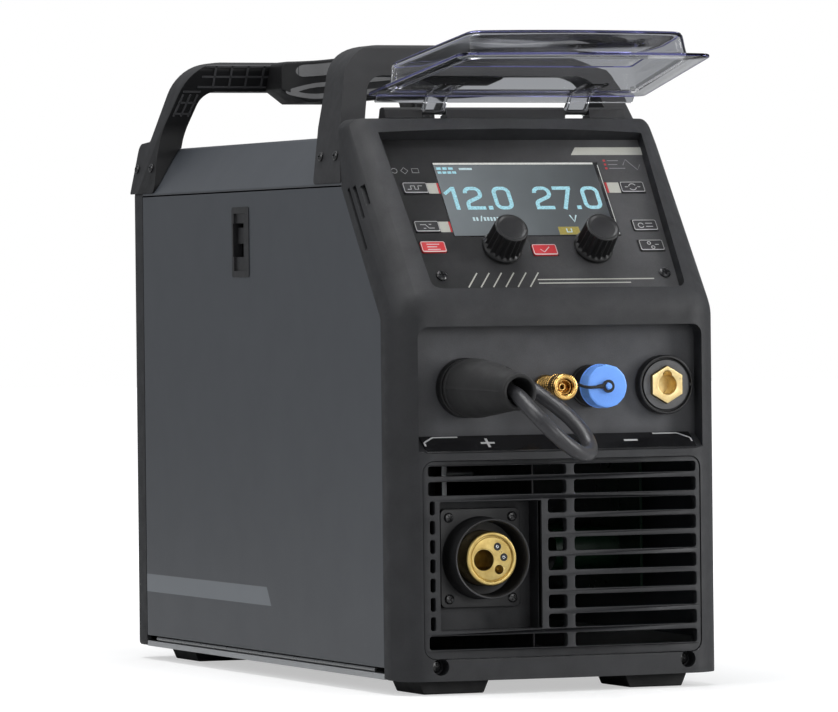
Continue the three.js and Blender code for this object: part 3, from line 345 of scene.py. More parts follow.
class Graph:
    """A material's node tree with short calls for the nodes that the finishes share."""

    def __init__(self, name):
        self.material = bpy.data.materials.new(name)
        self.material.use_nodes = True
        self.tree = self.material.node_tree
        self.shader = self.tree.nodes["Principled BSDF"]
        self.place = self.node("ShaderNodeTexCoord").outputs["Object"]

    def node(self, kind, **settings):
        made = self.tree.nodes.new(kind)
        for key, value in settings.items():
            setattr(made, key, value)
        return made

    def join(self, source, target):
        self.tree.links.new(source, target)

    def put(self, target, value):
        if isinstance(value, bpy.types.NodeSocket):
            self.join(value, target)
        else:
            target.default_value = value

    def noise(self, scale, detail=3.0, roughness=0.55, stretch=None):
        source = self.place
        if stretch:
            mapping = self.node("ShaderNodeMapping")
            mapping.inputs["Scale"].default_value = stretch
            self.join(source, mapping.inputs["Vector"])
            source = mapping.outputs["Vector"]
        made = self.node("ShaderNodeTexNoise")
        self.join(source, made.inputs["Vector"])
        made.inputs["Scale"].default_value = scale
        made.inputs["Detail"].default_value = detail
        made.inputs["Roughness"].default_value = roughness
        return made.outputs["Fac"]

    def math(self, operation, first, second=0.0, clamp=False):
        made = self.node("ShaderNodeMath", operation=operation, use_clamp=clamp)
        self.put(made.inputs[0], first)
        self.put(made.inputs[1], second)
        return made.outputs["Value"]

    def between(self, value, low, high, out_low=0.0, out_high=1.0):
        made = self.node("ShaderNodeMapRange")
        for socket, number in zip(made.inputs, (value, low, high, out_low, out_high)):
            self.put(socket, number)
        return made.outputs["Result"]

    def blend(self, factor, first, second):
        made = self.node("ShaderNodeMix", data_type="RGBA")
        self.put(made.inputs[0], factor)
        self.put(made.inputs[6], first)
        self.put(made.inputs[7], second)
        return made.outputs[2]

    def axis(self, index):
        made = self.node("ShaderNodeSeparateXYZ")
        self.join(self.place, made.inputs[0])
        return made.outputs[index]

    def bump(self, height, depth, strength=1.0, under=None):
        made = self.node("ShaderNodeBump")
        made.inputs["Strength"].default_value = strength
        made.inputs["Distance"].default_value = depth
        self.join(height, made.inputs["Height"])
        if under:
            self.join(under, made.inputs["Normal"])
        return made.outputs["Normal"]

    def set(self, **values):
        for key, value in values.items():
            self.put(self.shader.inputs[key.replace("_", " ")], value)


def colour(red, green, blue):
    return (red, green, blue, 1)


def moulded(name, tone, rough=(0.5, 0.66), grain=0.00009, pitch=1300, mottle=0.22, specular=0.4, painted_lighting=None):
    """Moulded plastic or rubber: fine spark grain, cloudy tone and uneven sheen; the last argument, (mask,
    tone), paints a second tone where light or shade falls.
    """
    graph = Graph(name)
    cloud = graph.noise(38, 4)
    speck = graph.noise(pitch, 2, 0.6)
    light = colour(*(min(1, channel * (1 + mottle) + 0.002) for channel in tone))
    dark = colour(*(channel * (1 - mottle) for channel in tone))
    mix = graph.math("ADD", graph.math("MULTIPLY", cloud, 0.6), graph.math("MULTIPLY", speck, 0.4))
    ground = graph.blend(graph.between(mix, 0.35, 0.65), dark, light)
    # Painted light and shade: a second tone blended in by a mask of where light or shade falls.
    if painted_lighting:
        mask, other = painted_lighting
        other_dark = colour(*(channel * (1 - mottle) for channel in other))
        other_light = colour(*(channel * (1 + mottle) for channel in other))
        spread = graph.blend(graph.between(mix, 0.35, 0.65), other_dark, other_light)
        ground = graph.blend(mask(graph), ground, spread)
    graph.set(Base_Color=ground)
    graph.set(Roughness=graph.between(graph.noise(90, 3), 0.3, 0.7, *rough))
    fine = graph.bump(speck, grain, 0.55)
    graph.set(Normal=graph.bump(graph.noise(pitch / 5, 2), grain * 1.6, 0.25, fine))
    graph.shader.inputs["Specular IOR Level"].default_value = specular
    return graph.material


def sheet_paint(name, tone, stripe=None):
    """Powder-coated sheet steel with a faint orange peel, soft stains and dust; stripe adds a pale band."""
    graph = Graph(name)
    cloud = graph.noise(9, 5)
    light = colour(*(channel * 1.025 for channel in tone))
    dark = colour(*(channel * 0.975 for channel in tone))
    coat = graph.blend(graph.between(cloud, 0.35, 0.65), dark, light)
    rough = graph.between(graph.noise(26, 4), 0.3, 0.7, 0.35, 0.39)
    if stripe:
        band = stripe(graph)
        coat = graph.blend(band, coat, colour(0.152, 0.166, 0.182))
    graph.set(Base_Color=coat, Roughness=rough)
    graph.set(Normal=graph.bump(graph.noise(620, 2), 0.00004, 0.35))
    graph.shader.inputs["Specular IOR Level"].default_value = 0.5
    return graph.material


def metal(name, tone, rough=(0.22, 0.4), stretch=(1, 1, 1), scale=180, depth=0.00003):
    """Machined, rolled or plated metal with fine lines along one direction."""
    graph = Graph(name)
    lines = graph.noise(scale, 4, 0.6, stretch)
    light = colour(*(min(1, channel * 1.12) for channel in tone))
    dark = colour(*(channel * 0.82 for channel in tone))
    graph.set(Base_Color=graph.blend(graph.between(lines, 0.3, 0.7), dark, light))
    graph.set(Metallic=1.0, Roughness=graph.between(lines, 0.3, 0.7, *rough))
    graph.set(Normal=graph.bump(lines, depth, 0.5))
    return graph.material


def turned_brass(name, centre, bright, dull):
    """Brass with fine tool rings about a connector's axis, between a bright and a dull tone."""
    graph = Graph(name)
    dx = graph.math("SUBTRACT", graph.axis(0), centre.x)
    dz = graph.math("SUBTRACT", graph.axis(2), centre.z)
    square = graph.math("ADD", graph.math("MULTIPLY", dx, dx), graph.math("MULTIPLY", dz, dz))
    radius = graph.math("SQRT", square)
    rings = graph.math("SINE", graph.math("MULTIPLY", radius, 14000))
    tarnish = graph.noise(160, 4)
    tone = graph.blend(graph.between(tarnish, 0.35, 0.7), colour(*bright), colour(*dull))
    graph.set(Base_Color=tone, Metallic=1.0, Roughness=graph.between(tarnish, 0.3, 0.7, 0.26, 0.4))
    graph.set(Normal=graph.bump(rings, 0.000012, 0.5))
    return graph.material


def clear_plastic(name, tone):
    graph = Graph(name)
    haze = graph.noise(60, 3)
    graph.set(Base_Color=colour(*tone))
    graph.set(Roughness=graph.between(haze, 0.3, 0.7, 0.02, 0.07))
    graph.set(Transmission_Weight=1.0, IOR=1.22)
    graph.set(Normal=graph.bump(graph.noise(22, 2), 0.0003, 0.05))
    return graph.material


def glowing(name, tone, strength, spread=0.08):
    """A lit part of the display: an even glow with the faint grid of its cells."""
    graph = Graph(name)
    cells = graph.noise(900, 1)
    light = colour(*(min(1, channel * (1 + spread)) for channel in tone))
    dark = colour(*(channel * (1 - spread) for channel in tone))
    graph.set(Base_Color=colour(0.01, 0.01, 0.012), Roughness=0.2)
    graph.set(Emission_Color=graph.blend(graph.between(cells, 0.4, 0.6), dark, light))
    graph.shader.inputs["Emission Strength"].default_value = strength
    return graph.material


def lit_field():
    """The display's grey field: brighter to the left and the middle."""
    graph = Graph("display_field")
    across = graph.between(graph.axis(0), -0.06, 0.065)
    tone = graph.blend(across, colour(0.19, 0.215, 0.228), colour(0.042, 0.045, 0.046))
    shade = graph.between(graph.noise(30, 2), 0.3, 0.7, 0.9, 1.08)
    final = graph.node("ShaderNodeMix", data_type="RGBA", blend_type="MULTIPLY")
    final.inputs[0].default_value = 1
    graph.join(tone, final.inputs[6])
    graph.join(shade, final.inputs[7])
    graph.set(Base_Color=colour(0.02, 0.022, 0.024), Roughness=0.22)
    graph.set(Emission_Color=final.outputs[2])
    graph.shader.inputs["Emission Strength"].default_value = 0.75
    return graph.material


def door_stripe(graph):
    """Mask of the door's pale band: level, with a slanted front end."""
    y, z = graph.axis(1), graph.axis(2)
    low, high = 50.5 * MM, 63.5 * MM
    start = joint_line + 216 * MM
    lean = 9 * MM / (high - low)
    front = graph.math("ADD", start, graph.math("MULTIPLY", graph.math("SUBTRACT", z, low), lean))
    inside = graph.math("MULTIPLY", graph.math("GREATER_THAN", z, low), graph.math("LESS_THAN", z, high))
    return graph.math("MULTIPLY", inside, graph.math("GREATER_THAN", y, front))


def recess_painted_light(graph):
    """Mask of the connector recess's back wall, where a lighter grey is painted in for the light that falls on
    it.
    """
    x, y, z = graph.axis(0), graph.axis(1), graph.axis(2)
    near = graph.between(y, recess_wall - 6 * MM, recess_wall - 1 * MM)
    inside = graph.math("MULTIPLY", graph.between(z, 166 * MM, 178 * MM),
                        graph.between(z, 256 * MM, 240 * MM))
    across = graph.between(graph.math("ABSOLUTE", x), 112 * MM, 84 * MM)
    return graph.math("MULTIPLY", near, graph.math("MULTIPLY", inside, across))


def handle_painted_shade(graph):
    """Mask of the rear hoop's front face and the grip's flanks, painted a deeper black for the shade that
    falls on them.
    """
    y, z = graph.axis(1), graph.axis(2)
    face = graph.math("ADD", joint_line + (434 + 441.5 * 5 / 9) * MM, graph.math("MULTIPLY", z, -5 / 9))
    before = graph.between(graph.math("SUBTRACT", y, face), 3 * MM, 1.5 * MM)
    behind = graph.between(y, joint_line + 165 * MM, joint_line + 175 * MM)
    below_top = graph.between(z, 440.5 * MM, 438.5 * MM)
    at_hoop = graph.between(y, joint_line + 426 * MM, joint_line + 432 * MM)
    along = graph.math("MULTIPLY", before, behind)
    return graph.math("MULTIPLY", along, graph.math("MAXIMUM", below_top, at_hoop))


def film_field(graph):
    """Mask that grows to the control film's right side, where it catches more light."""
    return graph.between(graph.axis(0), -0.09, 0.1)


# The bezel's recess wall gets a lighter grey as painted light.
bezel_moulding = moulded("bezel_moulding", (0.0155, 0.016, 0.018), painted_lighting=(recess_painted_light, (0.06, 0.061, 0.066)))
black_moulding = moulded("black_moulding", (0.0155, 0.016, 0.018))
# The handle's inner faces get a deeper black as painted shade.
handle_moulding = moulded("handle_moulding", (0.0165, 0.0165, 0.018), rough=(0.46, 0.6),
                          painted_lighting=(handle_painted_shade, (0.0035, 0.0035, 0.004)))
satin_black = moulded("satin_black", (0.012, 0.012, 0.013), rough=(0.36, 0.5), grain=0.00004)
knob_black = moulded("knob_black", (0.0085, 0.0085, 0.009), rough=(0.36, 0.5), grain=0.00003)
key_black = moulded("key_black", (0.019, 0.019, 0.021), rough=(0.42, 0.54), grain=0.00003)
screw_black = moulded("screw_black", (0.01, 0.01, 0.011), rough=(0.2, 0.34), grain=0.00002, specular=0.6)
gloss_black = moulded("gloss_black", (0.01, 0.01, 0.011), rough=(0.1, 0.18), grain=0.00001, specular=0.5)
overlay_film = moulded("overlay_film", (0.007, 0.007, 0.0075), rough=(0.5, 0.62), grain=0.00002,
                       specular=0.25,
                       painted_lighting=(film_field, (0.06, 0.06, 0.062)))
rubber = moulded("black_rubber", (0.011, 0.011, 0.0115), rough=(0.58, 0.74), grain=0.00006, pitch=900)
lead_rubber = moulded("lead_rubber", (0.034, 0.034, 0.037), rough=(0.3, 0.42), grain=0.00006, pitch=900)
blue_plastic = moulded("blue_plastic", (0.15, 0.36, 0.95), rough=(0.34, 0.48), grain=0.00004, mottle=0.1)
red_plastic = moulded("red_plastic", (0.48, 0.02, 0.026), rough=(0.4, 0.52), grain=0.00003, mottle=0.08)
pale_print = moulded("pale_print", (0.5, 0.5, 0.49), rough=(0.4, 0.55), grain=0.00001, mottle=0.08)
key_print = moulded("key_print", (0.34, 0.34, 0.335), rough=(0.4, 0.55), grain=0.00001, mottle=0.1)
grey_print = moulded("grey_print", (0.2, 0.205, 0.205), rough=(0.4, 0.55), grain=0.00001, mottle=0.1)
silver_print = moulded("silver_print", (0.37, 0.37, 0.33), rough=(0.4, 0.5), grain=0.00001, mottle=0.06)
strip_white = moulded("strip_white", (0.55, 0.55, 0.55), rough=(0.4, 0.55), grain=0.00001, mottle=0.06)
red_print = moulded("red_print", (0.42, 0.022, 0.026), rough=(0.4, 0.55), grain=0.00001, mottle=0.08)
socket_grey = moulded("socket_grey", (0.09, 0.09, 0.092), rough=(0.45, 0.6), grain=0.00004)
rib_grey = moulded("rib_grey", (0.05, 0.05, 0.053), rough=(0.5, 0.6), grain=0.00003)
inlay_and_highlight_grey = moulded("inlay_and_highlight_grey", (0.16, 0.16, 0.162), rough=(0.5, 0.62), grain=0.00006, mottle=0.12)
board_green = moulded("board_green", (0.004, 0.02, 0.009), rough=(0.25, 0.4), grain=0.00003)
sheet_coat = sheet_paint("blue_grey_coat", (0.046, 0.051, 0.059))
door_coat = sheet_paint("door_coat", (0.042, 0.047, 0.055), door_stripe)
zinc = metal("zinc_sheet", (0.5, 0.51, 0.52), (0.28, 0.46), (1, 0.15, 1), 60)
dark_sheet = moulded("dark_sheet", (0.018, 0.018, 0.019), rough=(0.4, 0.55), grain=0.00003)
steel = metal("machined_steel", (0.28, 0.285, 0.29), (0.24, 0.38))
bright_pin = metal("bright_pin", (0.75, 0.76, 0.78), (0.14, 0.24))
plain_brass = metal("brass", (0.74, 0.46, 0.15), (0.18, 0.32))
clear = clear_plastic("clear_polycarbonate", (0.97, 0.97, 0.987))
edge_tint = clear_plastic("cover_edge_tint", (0.42, 0.42, 0.93))

# ---------- carried-over CAD nodes ----------


def dress(node, material, bevel=0.5, segments=2):
    """A CAD node keeps its mesh and gets rounded edges, smooth shading and a finish."""
    thing = nodes[node]
    thing.data.materials.clear()
    thing.data.materials.append(material)
    thing.data.shade_smooth()
    weld = thing.modifiers.new("weld", "WELD")
    weld.merge_threshold = 1e-5
    flat = thing.modifiers.new("flat", "DECIMATE")
    flat.decimate_type = "DISSOLVE"
    flat.angle_limit = math.radians(0.6)
    round_off = thing.modifiers.new("round_off", "BEVEL")
    round_off.width = bevel * MM
    round_off.segments = segments
    round_off.limit_method = "ANGLE"
    round_off.angle_limit = math.radians(35)
    round_off.use_clamp_overlap = True
    thing.modifiers.new("shade", "WEIGHTED_NORMAL").keep_sharp = False


finishes = [
    (bezel_moulding, 1.2, ["front_bezel"]),
    (black_moulding, 1.2, ["rear_bezel"]),
    (handle_moulding, 3.0, ["front_hoop", "rear_hoop"]),
    (handle_moulding, 5.0, ["centre_grip"]),
    (sheet_coat, 0.5, ["top_cover", "right_side_panel"]),
    (door_coat, 0.5, ["wire_door"]),
    (zinc, 0.4, ["base_chassis", "feeder_plate"]),
    (dark_sheet, 0.4, ["centre_divider"]),
    (steel, 0.3, ["door_hinge_pin", "feed_motor", "drive_roll", "pressure_arm", "pressure_roll",
                  "transformer"]),
    (satin_black, 0.3, ["door_latch_frame", "door_latch_slider", "hinge_bar", "tension_lever", "fan_frame",
                        "fan_rotor", "mains_gland"]),
    (satin_black, 0.8, ["spool_hub"]),
    (overlay_film, 0.15, ["control_overlay"]),
    (gloss_black, 0.4, ["display_module"]),
    (gloss_black, 0.2, ["polarity_strip"]),
    (board_green, 0.2, ["control_board", "power_board"]),
    (rubber, 1.0, ["foot_front_left", "foot_front_right", "foot_rear_left", "foot_rear_right"]),
    (plain_brass, 0.2, ["gas_inlet"]),
    (red_plastic, 0.4, ["rear_switch"]),
]
for material, bevel, names in finishes:
    for name in names:
        dress(name, material, bevel)

# ---------- shapes that the detailed pieces share ----------


def arc(x, y, radius, start, end, count=14):
    angles = [math.radians(start + (end - start) * i / count) for i in range(count + 1)]
    return [(x + radius * math.cos(a), y + radius * math.sin(a)) for a in angles]


def ribbon(path, width):
    """The outline of a line of even width drawn through points."""
    left, right = [], []
    for index, here in enumerate(path):
        before = path[max(0, index - 1)]
        after = path[min(len(path) - 1, index + 1)]
        along = (after - before).normalized()
        side = Vector((-along.y, along.x)) * width / 2
        left.append(here + side)
        right.append(here - side)
    return left + right[::-1]


def marks(lines, width, low, high):
    """Thin printed lines through points; each line lies a hair above the one before."""
    layers = [plate([ribbon([Vector(point) for point in line], width)], low, high + 0.004 * index)
              for index, line in enumerate(lines)]
    return joined(*layers)


def patches(boxes, low, high):
    """Thin printed blocks (x0, x1, y0, y1, lean), whose upper side is shifted by lean."""
    made = []
    for x0, x1, y0, y1, lean in boxes:
        corners = [Vector((x0, y0)), Vector((x1, y0)), Vector((x1 + lean, y1)), Vector((x0 + lean, y1))]
        made.append(plate([corners], low, high))
    return joined(*made)


def hexagon(flats, radius=1.0, turn=0.5):
    reach = flats / math.sqrt(3)
    corners = [(reach * math.cos(math.pi / 3 * (i + turn)), reach * math.sin(math.pi / 3 * (i + turn)),
                radius)
               for i in range(6)]
    return rounded(corners, 4)


def cross_screw(radius):
    """A pan-head screw with a cross recess, its head's underside at height 0."""
    head = turned([(0, -1), (radius * 0.55, -1), (radius * 0.55, 0), (radius, 0), (radius, radius * 0.28),
                   (radius * 0.72, radius * 0.52), (0, radius * 0.6)], 40, 0.15)
    arm, half = radius * 0.6, radius * 0.13
    slots = [brick((-arm, -half, radius * 0.2), (arm, half, radius), 0.05, 1),
             brick((-half, -arm, radius * 0.2), (half, arm, radius), 0.05, 1)]
    return cut(head, *slots)


def screws(name, radius, frames, body="enclosure"):
    """One piece of equal screws, each seated on a frame of its own."""
    pattern = cross_screw(radius)
    copies = [placed(pattern.copy(), matrix) for matrix in frames]
    return piece(name, joined(*copies), screw_black, body)


# ---------- lead, plug and gland ----------

plug_tip = 82
plug_base = 9.6


def bent_plug(mesh):
    """Bends the boot's outer end aside and down, as in the CAD."""
    for vertex in mesh.vertices:
        along = max(0, vertex.co.z - plug_base) / (plug_tip - plug_base)
        vertex.co.x += 7 * along ** 2
        vertex.co.y -= 2 * along ** 2
    return mesh


def plug_section(angle, radius, height):
    """Parting ridges along the boot's sides and two shallow grip flats."""
    if height < plug_base + 4 or height > plug_tip - 3 or radius < 11:
        return radius
    ridge = 0.35 * max(0, 1 - abs(math.sin(angle)) / 0.05)
    grip = 0.5 * max(0, math.sin(3 * math.pi * (height - 30) / 45)) if 30 < height < 60 else 0
    return radius + ridge - grip * abs(math.sin(angle)) ** 6


def lead_plug():
    profile = [(0, 9.7), (18.6, 9.7), (19.3, 10.2), (20, 12)]
    profile += [(20, 14.5), (19.4, 15), (19.4, 16.2), (20, 16.8), (19.95, 22), (19.6, 28), (19, 34),
                (17.9, 43),
                (16.4, 52), (14.9, 61), (13.4, 70), (12.6, 77), (12.5, 80), (11.9, 81.6), (11.2, 82),
                (9.7, 81.8), (9.3, 81), (9.3, 60), (0, 60)]
    mesh = bent_plug(turned(profile, 120, 0.4, plug_section))
    return piece("lead_plug", placed(mesh, on_wall("positive_socket")), rubber,
                 stands_for=["polarity_plug"])


def lead_gland():
    nut = plate([hexagon(17, 1.4)], 0.3, 5.6, 0.5)
    rings = []
    for index in range(4):
        foot = 7.4 + 1.55 * index
        rings += [(7.3 - 0.25 * index, foot), (7.3 - 0.25 * index, foot + 0.95),
                  (6.3 - 0.15 * index, foot + 1.1)]
    sleeve = turned([(0, 0.4), (7.9, 0.4), (7.9, 6.6), (7.5, 7.2)] + rings + [(5.7, 14), (0, 14)], 48, 0.2)
    return piece("lead_gland", placed(joined(nut, sleeve), on_wall("cable_gland")), satin_black,
                 stands_for=["cable_gland"])


lead.data.materials.append(lead_rubber)
lead_plug()
lead_gland()

# ---------- sockets ----------


def socket_shell(name, node):
    """The moulded body of a weld-cable socket, with its keyed rim."""
    profile = [(13.3, -6), (15, -6), (15, 0.3), (20.2, 0.3), (20.2, 6.9), (19.7, 7.8), (18.7, 8), (18.3, 7.6),
               (18.1, 5.2), (17.1, 5.2), (16.9, 6.4), (13.9, 6.6), (13.3, 6.2)]
    body = turned(profile, 120, 0.25)
    lug = brick((17.2, -1.1, 4), (18.9, 1.1, 7.2), 0.3)
    mesh = placed(joined(body, lug), on_wall(node))
    return piece(name, mesh, satin_black, stands_for=[node])


def socket_hexagon():
    """The negative socket's brass body: a hexagon with a keyed bore."""
    bore = [Vector(point) for point in arc(0, 0, 6.75, 119, 421, 48) + arc(0, 6.2, 3.4, -2, 182, 18)]
    body = plate([hexagon(22.2, 0.8, 0.5), bore], -6.6, 9.3, 0.45, 3)
    wall = turned([(0, -6), (7.5, -6), (7.5, -5), (0, -5)], 48, 0)
    mesh = placed(joined(body, wall), on_wall("negative_socket"))
    brass = turned_brass("socket_brass", middle("negative_socket"), (0.88, 0.7, 0.36), (0.68, 0.5, 0.22))
    return piece("socket_hexagon", mesh, brass,
                 stands_for=["negative_socket_brass"])


def socket_face():
    """The grey ring that fills the negative socket's mouth round its hexagon."""
    mesh = plate([ring(0, 0, 16.8, 72), hexagon(22.9, 0.8, 0.5)], 5.6, 6.85, 0.2, 2)
    return piece("socket_face", placed(mesh, on_wall("negative_socket")), socket_grey)


def gas_coupler():
    rings = []
    for index in range(3):
        foot = 6 + 4.1 * index
        rings += [(6.2, foot), (6.2, foot + 1.8), (7.5, foot + 2.6), (7.5, foot + 3.8), (6.2, foot + 4.5)]
    profile = [(0, 0.4), (8, 0.4), (8, 4.6), (7.4, 5.2)] + rings
    profile += [(5.2, 19.2), (5.2, 33.6), (4.9, 34), (4.5, 34), (4.3, 33.6), (4.3, 25), (2.8, 25),
                (2.8, 30.6), (2.5, 31), (1.6, 31), (1.4, 30.6), (1.4, 14), (0, 14)]
    mesh = placed(turned(profile, 64, 0.25), on_wall("gas_coupler"))
    return piece("coupler_body", mesh, plain_brass,
                 stands_for=["gas_coupler"])


def coupler_sleeve():
    def knurled(angle, radius, height):
        return radius - (0.22 * (0.5 + 0.5 * math.cos(36 * angle)) if radius > 8.5 and 25 < height < 33 else 0)

    profile = [(5.5, 22.4), (8.2, 22.4), (8.9, 23.4), (8.9, 25), (8.6, 25.3), (8.9, 25.6), (8.9, 32.6),
               (8.5, 33), (8.9, 33.4), (8.9, 36.3), (8.3, 37.2), (7.6, 37.4), (6.2, 37.4), (5.6, 36.8)]
    mesh = turned(profile, 144, 0.2, knurled)
    return piece("coupler_ring", placed(mesh, on_wall("gas_coupler_sleeve")), plain_brass, "gas_sleeve",
                 ["gas_coupler_sleeve"])


def control_socket():
    profile = [(0, 0.4), (14.2, 0.4), (14.4, 0.8), (14.4, 2.6), (14, 3), (13.4, 3.2), (13.4, 15.8),
               (12.8, 16.3),
               (11, 16.4), (10.7, 17), (11, 17.6), (10.7, 18.2), (11, 18.8), (10.7, 19.4), (11, 20),
               (11, 23.6),
               (10.6, 24), (9.8, 24), (9.6, 23.6), (9.6, 12), (0, 12)]
    return piece("socket_thread", placed(turned(profile, 64, 0.2), on_wall("control_socket")), satin_black,
                 stands_for=["control_socket"])


def socket_cap():
    def gripped(angle, radius, height):
        if radius < 13.5 or height < 18.4:
            return radius
        across = angle % (math.pi / 6) - math.pi / 12
        return min(radius, 14.2 / math.cos(across))

    profile = [(11.4, 17.2), (14.4, 17.2), (14.9, 17.8), (14.9, 18.6), (14.7, 19.2), (14.7, 29.8),
               (14.1, 30.7),
               (13.2, 31), (2.6, 31), (2.2, 31.4), (2.2, 34), (1.7, 34.7), (0, 34.8), (0, 28), (11.4, 28)]
    mesh = turned(profile, 168, 0.25, gripped)
    return piece("socket_cap_shell", placed(mesh, on_wall("control_socket_cap")), blue_plastic, "socket_cap",
                 ["control_socket_cap"])


def cap_strap():
    """The retaining strap: a forked ring round the cap's pin and a band back to the socket's flange."""
    hoop = turned([(2.5, 32.4), (4.4, 32.4), (4.4, 33.2), (2.5, 33.2)], 40, 0.2)
    curve = bpy.data.curves.new("strap", "CURVE")
    curve.dimensions = "3D"
    curve.bevel_depth = 1.0
    curve.bevel_resolution = 3
    curve.use_fill_caps = True
    spline = curve.splines.new("BEZIER")
    route = [(-3.4, 0, 32.8), (-9, -0.4, 33.1), (-15.4, -0.4, 32.5), (-18.2, 0.6, 28.9), (-18.6, 3, 20.3),
             (-17.6, 5.4, 11.3), (-15.4, 6, 3.9), (-14.8, 6, 1.3)]
    spline.bezier_points.add(len(route) - 1)
    for knot, point in zip(spline.bezier_points, route):
        knot.co = point
        knot.handle_left_type = "AUTO"
        knot.handle_right_type = "AUTO"
    band = evaluated(link("strap", curve))
    web = plate([[Vector((-2.9, -1.9)), Vector((-2.9, 1.9)), Vector((-8.5, 0.9)), Vector((-8.5, -1.1))]],
                32.3, 33.3, 0.2)
    mesh = placed(joined(hoop, band, web), on_wall("control_socket"))
    return piece("strap_band", mesh, rubber, "enclosure", ["cap_strap"])


socket_shell("plus_socket_shell", "positive_socket")
socket_shell("minus_socket_shell", "negative_socket")
socket_hexagon()
socket_face()
gas_coupler()
coupler_sleeve()
control_socket()
socket_cap()
cap_strap()

# ---------- torch connector ----------

flange_centre = middle("torch_flange")
torch_frame = facing((flange_centre.x, pocket_wall, flange_centre.z), front_out)


def torch_flange():
    base = plate([rounded_box(-29, 29, -33.4, 33.4, 4), ring(0, 0, 18.8)], 0.3, 4.3, 0.6, 3)
    boss = turned([(18.8, 0.5), (28.2, 4.1), (27.3, 5.4), (27, 8), (27, 25.4), (26.7, 26), (26.2, 26),
                   (25.6, 25.7),
                   (25, 24), (24.6, 6), (18.8, 5.6)], 120, 0.3)
    mesh = placed(joined(base, boss), torch_frame)
    return piece("torch_housing", mesh, satin_black, stands_for=["torch_flange"])


def drilled(x, y, radius, floor, top=30):
    tool = turned([(0, floor), (radius, floor), (radius, top), (0, top)], 48, 0)
    tool.transform(Matrix.Translation((x, y, 0)))
    return tool


def torch_face():
    body = turned([(0, -30), (10, -30), (10, 2), (18.4, 3), (18.4, 22.8), (17.9, 23.9), (17.2, 24.4),
                   (15.9, 24.4),
                   (15.5, 24), (15.3, 22.9), (14.6, 23.1), (14.4, 23.6), (0, 23.6)], 120, 0.25)
    mesh = cut(body, drilled(-5.6, -0.8, 7.2, -20), drilled(5.4, -7.4, 3.2, 4), drilled(4.4, 8, 2.7, 10),
               drilled(9, 0.8, 2.7, 10))
    mouth = turned([(7.2, 10), (7.2, 23.2), (7.9, 23.7), (8.3, 23.75), (8.3, 10)], 64, 0.1)
    mouth.transform(Matrix.Translation((-5.6, -0.8, 0)))
    brass = turned_brass("torch_brass_face", flange_centre, (0.58, 0.44, 0.17), (0.4, 0.28, 0.09))
    piece("torch_brass_body", placed(joined(mesh, mouth), torch_frame), brass,
          stands_for=["torch_brass"])
    sleeves, pins = [], []
    for x, y in [(4.4, 8), (9, 0.8)]:
        shift = Matrix.Translation((x, y, 0))
        sleeve = turned([(1.35, 11), (2.65, 11), (2.65, 23.7), (2.4, 23.95), (1.6, 23.95), (1.35, 23.6)], 40,
                        0.1)
        pin = turned([(0.5, 12), (1.2, 12), (1.2, 23.3), (1.0, 23.6), (0.6, 23.6), (0.5, 23.3)], 32, 0.1)
        sleeves.append(placed(sleeve, shift))
        pins.append(placed(pin, shift))
    piece("torch_pin_sleeves", placed(joined(*sleeves), torch_frame), satin_black)
    piece("torch_pins", placed(joined(*pins), torch_frame), bright_pin)


torch_flange()
torch_face()
screws("torch_screws", 3.4, [torch_frame @ Matrix.Translation((x, y, 3.9)) @ Matrix.Rotation(x, 4, "Z")
                             for x in (-23, 23) for y in (-27.4, 27.4)])

# ---------- knobs and keys ----------

overlay_top = 23.0
knob_base = 23.5
knob_height = 23.0


def knob(name, node, body):
    """A turning knob with rounded flutes between its skirt and its dished top."""
    low, high = knob_base + 3.2, knob_base + knob_height - 0.8

    def fluted(angle, radius, height):
        if radius < 10.5 or not low < height < high:
            return radius
        fade = min(1, (height - low) / 1.2, (high - height) / 0.5)
        return radius - 1.5 * fade * abs(math.cos(9 * angle)) ** 1.6

    profile = [(0, knob_base), (13.6, knob_base), (14, knob_base + 0.7), (13.9, knob_base + 2.2)]
    profile += [(13.1, knob_base + 3.3), (12.9, knob_base + 4.4), (12.6, knob_base + 9),
                (12.3, knob_base + 15)]
    profile += [(12, knob_base + 21.2), (11.8, knob_base + 22.2), (11.1, knob_base + knob_height)]
    profile += [(9.9, knob_base + knob_height), (9.2, knob_base + 22.5), (8.4, knob_base + 22.2)]
    profile += [(0, knob_base + 21.7)]
    centre = slope.inverted() @ middle(node)
    mesh = placed(turned(profile, 180, 0.3, fluted), on_slope(centre.x, centre.y))
    return piece(name, mesh, knob_black, body, [node], 40)


knob("left_knob_fluted", "knob_left", "left_knob")
knob("right_knob_fluted", "knob_right", "right_knob")

key_half = (9, 4.7)
key_top = 23.9


key_marks = {
    "key_mode": [[(-6, -1.4), (-3.4, -1.4), (-3.4, 1.6), (-0.6, 1.6), (-0.6, -1.4), (2, -1.4), (2, 1.6),
                  (5, 1.6)]],
    "key_trigger": [[(-5, 1.4), (-1, 1.4), (1, -1.6), (5, -1.6)], [(-3, -1.8), (-1.2, -1.8)],
                    [(1.4, 1.6), (3.2, 1.6)]],
    "key_save": [[(-4.6, 2), (4.6, 2)], [(-4.6, -0.2), (2.6, -0.2)], [(-4.6, -2.4), (4.6, -2.4)]],
    "key_set": [[(-3.2, 0.2), (-0.8, -2.2), (3.6, 2.2)]],
    "key_sync": [arc(0, 0, 2.7, 30, 170), arc(0, 0, 2.7, 210, 350), [(-5.8, 0), (-3.6, 0)],
                 [(3.6, 0), (5.8, 0)]],
    "key_gas": [arc(-3.2, -0.4, 2, 20, 340), [(0.4, 1.4), (5.6, 1.4)], [(0.4, -1.4), (5.6, -1.4)]],
    "key_purge": [arc(-1.6, 1.7, 1.2, 0, 360), arc(0.6, -2, 1.2, 0, 360), [(2.6, 0.4), (5.4, 0.4)]],
}
